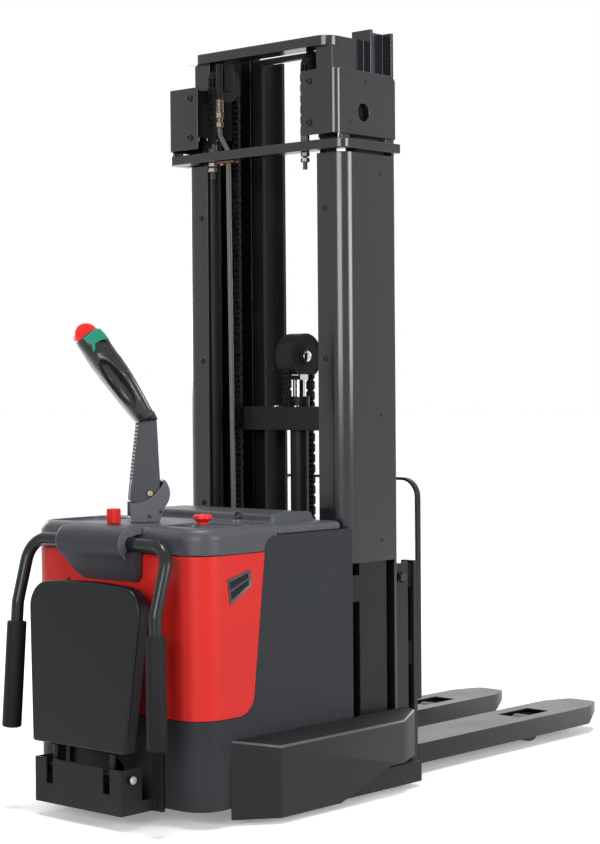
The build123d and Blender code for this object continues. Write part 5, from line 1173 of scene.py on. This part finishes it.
# floor, lamps and white surroundings
studio = {"floor": 0.95, "glow": 0.25, "bounce": 0.30, "ambient": 0.14, "floorSize": 60,
          "floorRoughness": 0.7, "floorSpecular": 0.1, "sun": 2.0, "sunSpread": 15.0}
softBoxes = {
    "keyBox": {"place": (2.74, -6.23, 2.35), "target": (0.3, -0.2, 1.4), "size": (3.3, 2.4), "power": 212.0},
    "fillBox": {"place": (-6.4, 1.2, 2.35), "target": (0, -0.2, 1.2), "size": (2.8, 2.4), "power": 130.0},
    "frontBox": {"place": (0, 6.6, 2.6), "target": (0, 0, 1.0), "size": (3.0, 2.0), "power": 90.0},
    "stripBox": {"place": (6.75, 0.59, 2.35), "target": (0.3, -0.2, 1.4), "size": (2.8, 2.4), "power": 235.0},
}


def seenRay(tree, unseen, seen):      # camera, glossy and transmission rays get the second value
    path = addNode(tree, "ShaderNodeLightPath").outputs
    sharp = reckon(tree, "MAXIMUM", path["Is Camera Ray"], path["Is Glossy Ray"])
    clear = reckon(tree, "MAXIMUM", sharp, path["Is Transmission Ray"])
    return rescale(tree, clear, (0.0, 1.0), (unseen, seen))


def makeFloor():
    bm = bmesh.new()
    bmesh.ops.create_grid(bm, x_segments=1, y_segments=1, size=studio["floorSize"])
    material = bpy.data.materials.new("paleFloor")
    material.use_nodes = True
    tree = material.node_tree
    shader = tree.nodes["Principled BSDF"]
    tree.links.new(seenRay(tree, studio["bounce"], studio["floor"]), shader.inputs["Base Color"])
    tree.links.new(seenRay(tree, 0.0, studio["glow"]), shader.inputs["Emission Strength"])
    shader.inputs["Emission Color"].default_value = (1, 1, 1, 1)
    shader.inputs["Roughness"].default_value = studio["floorRoughness"]
    shader.inputs["Specular IOR Level"].default_value = studio["floorSpecular"]
    floor = bpy.data.objects.new("paleFloor", meshOf("paleFloor", bm))
    floor.data.materials.append(material)
    scene.collection.objects.link(floor)


def makeWorld():
    world = bpy.data.worlds.new("studioWorld")
    world.use_nodes = True
    tree = world.node_tree
    tree.nodes.clear()
    light = {"Color": (1, 1, 1, 1), "Strength": seenRay(tree, studio["ambient"], 1.0)}
    sky = addNode(tree, "ShaderNodeBackground", light)
    addNode(tree, "ShaderNodeOutputWorld", {"Surface": sky.outputs[0]})
    scene.world = world


def makeSun(power, spread):
    lamp = bpy.data.lights.new("overhead", "SUN")
    lamp.energy = power
    lamp.angle = radians(spread)
    scene.collection.objects.link(bpy.data.objects.new("overhead", lamp))


def makeSoftBox(name, spec):
    lamp = bpy.data.lights.new(name, "AREA")
    lamp.shape = "RECTANGLE"
    lamp.size, lamp.size_y = spec["size"]
    lamp.energy = spec["power"]
    box = bpy.data.objects.new(name, lamp)
    aim = (Vector(spec["target"]) - Vector(spec["place"])).to_track_quat("-Z", "Y")
    box.matrix_world = Matrix.Translation(spec["place"]) @ aim.to_matrix().to_4x4()
    scene.collection.objects.link(box)


makeFloor()
makeWorld()
makeSun(studio["sun"], studio["sunSpread"])
for name, spec in softBoxes.items():
    makeSoftBox(name, spec)
print("studio ready")
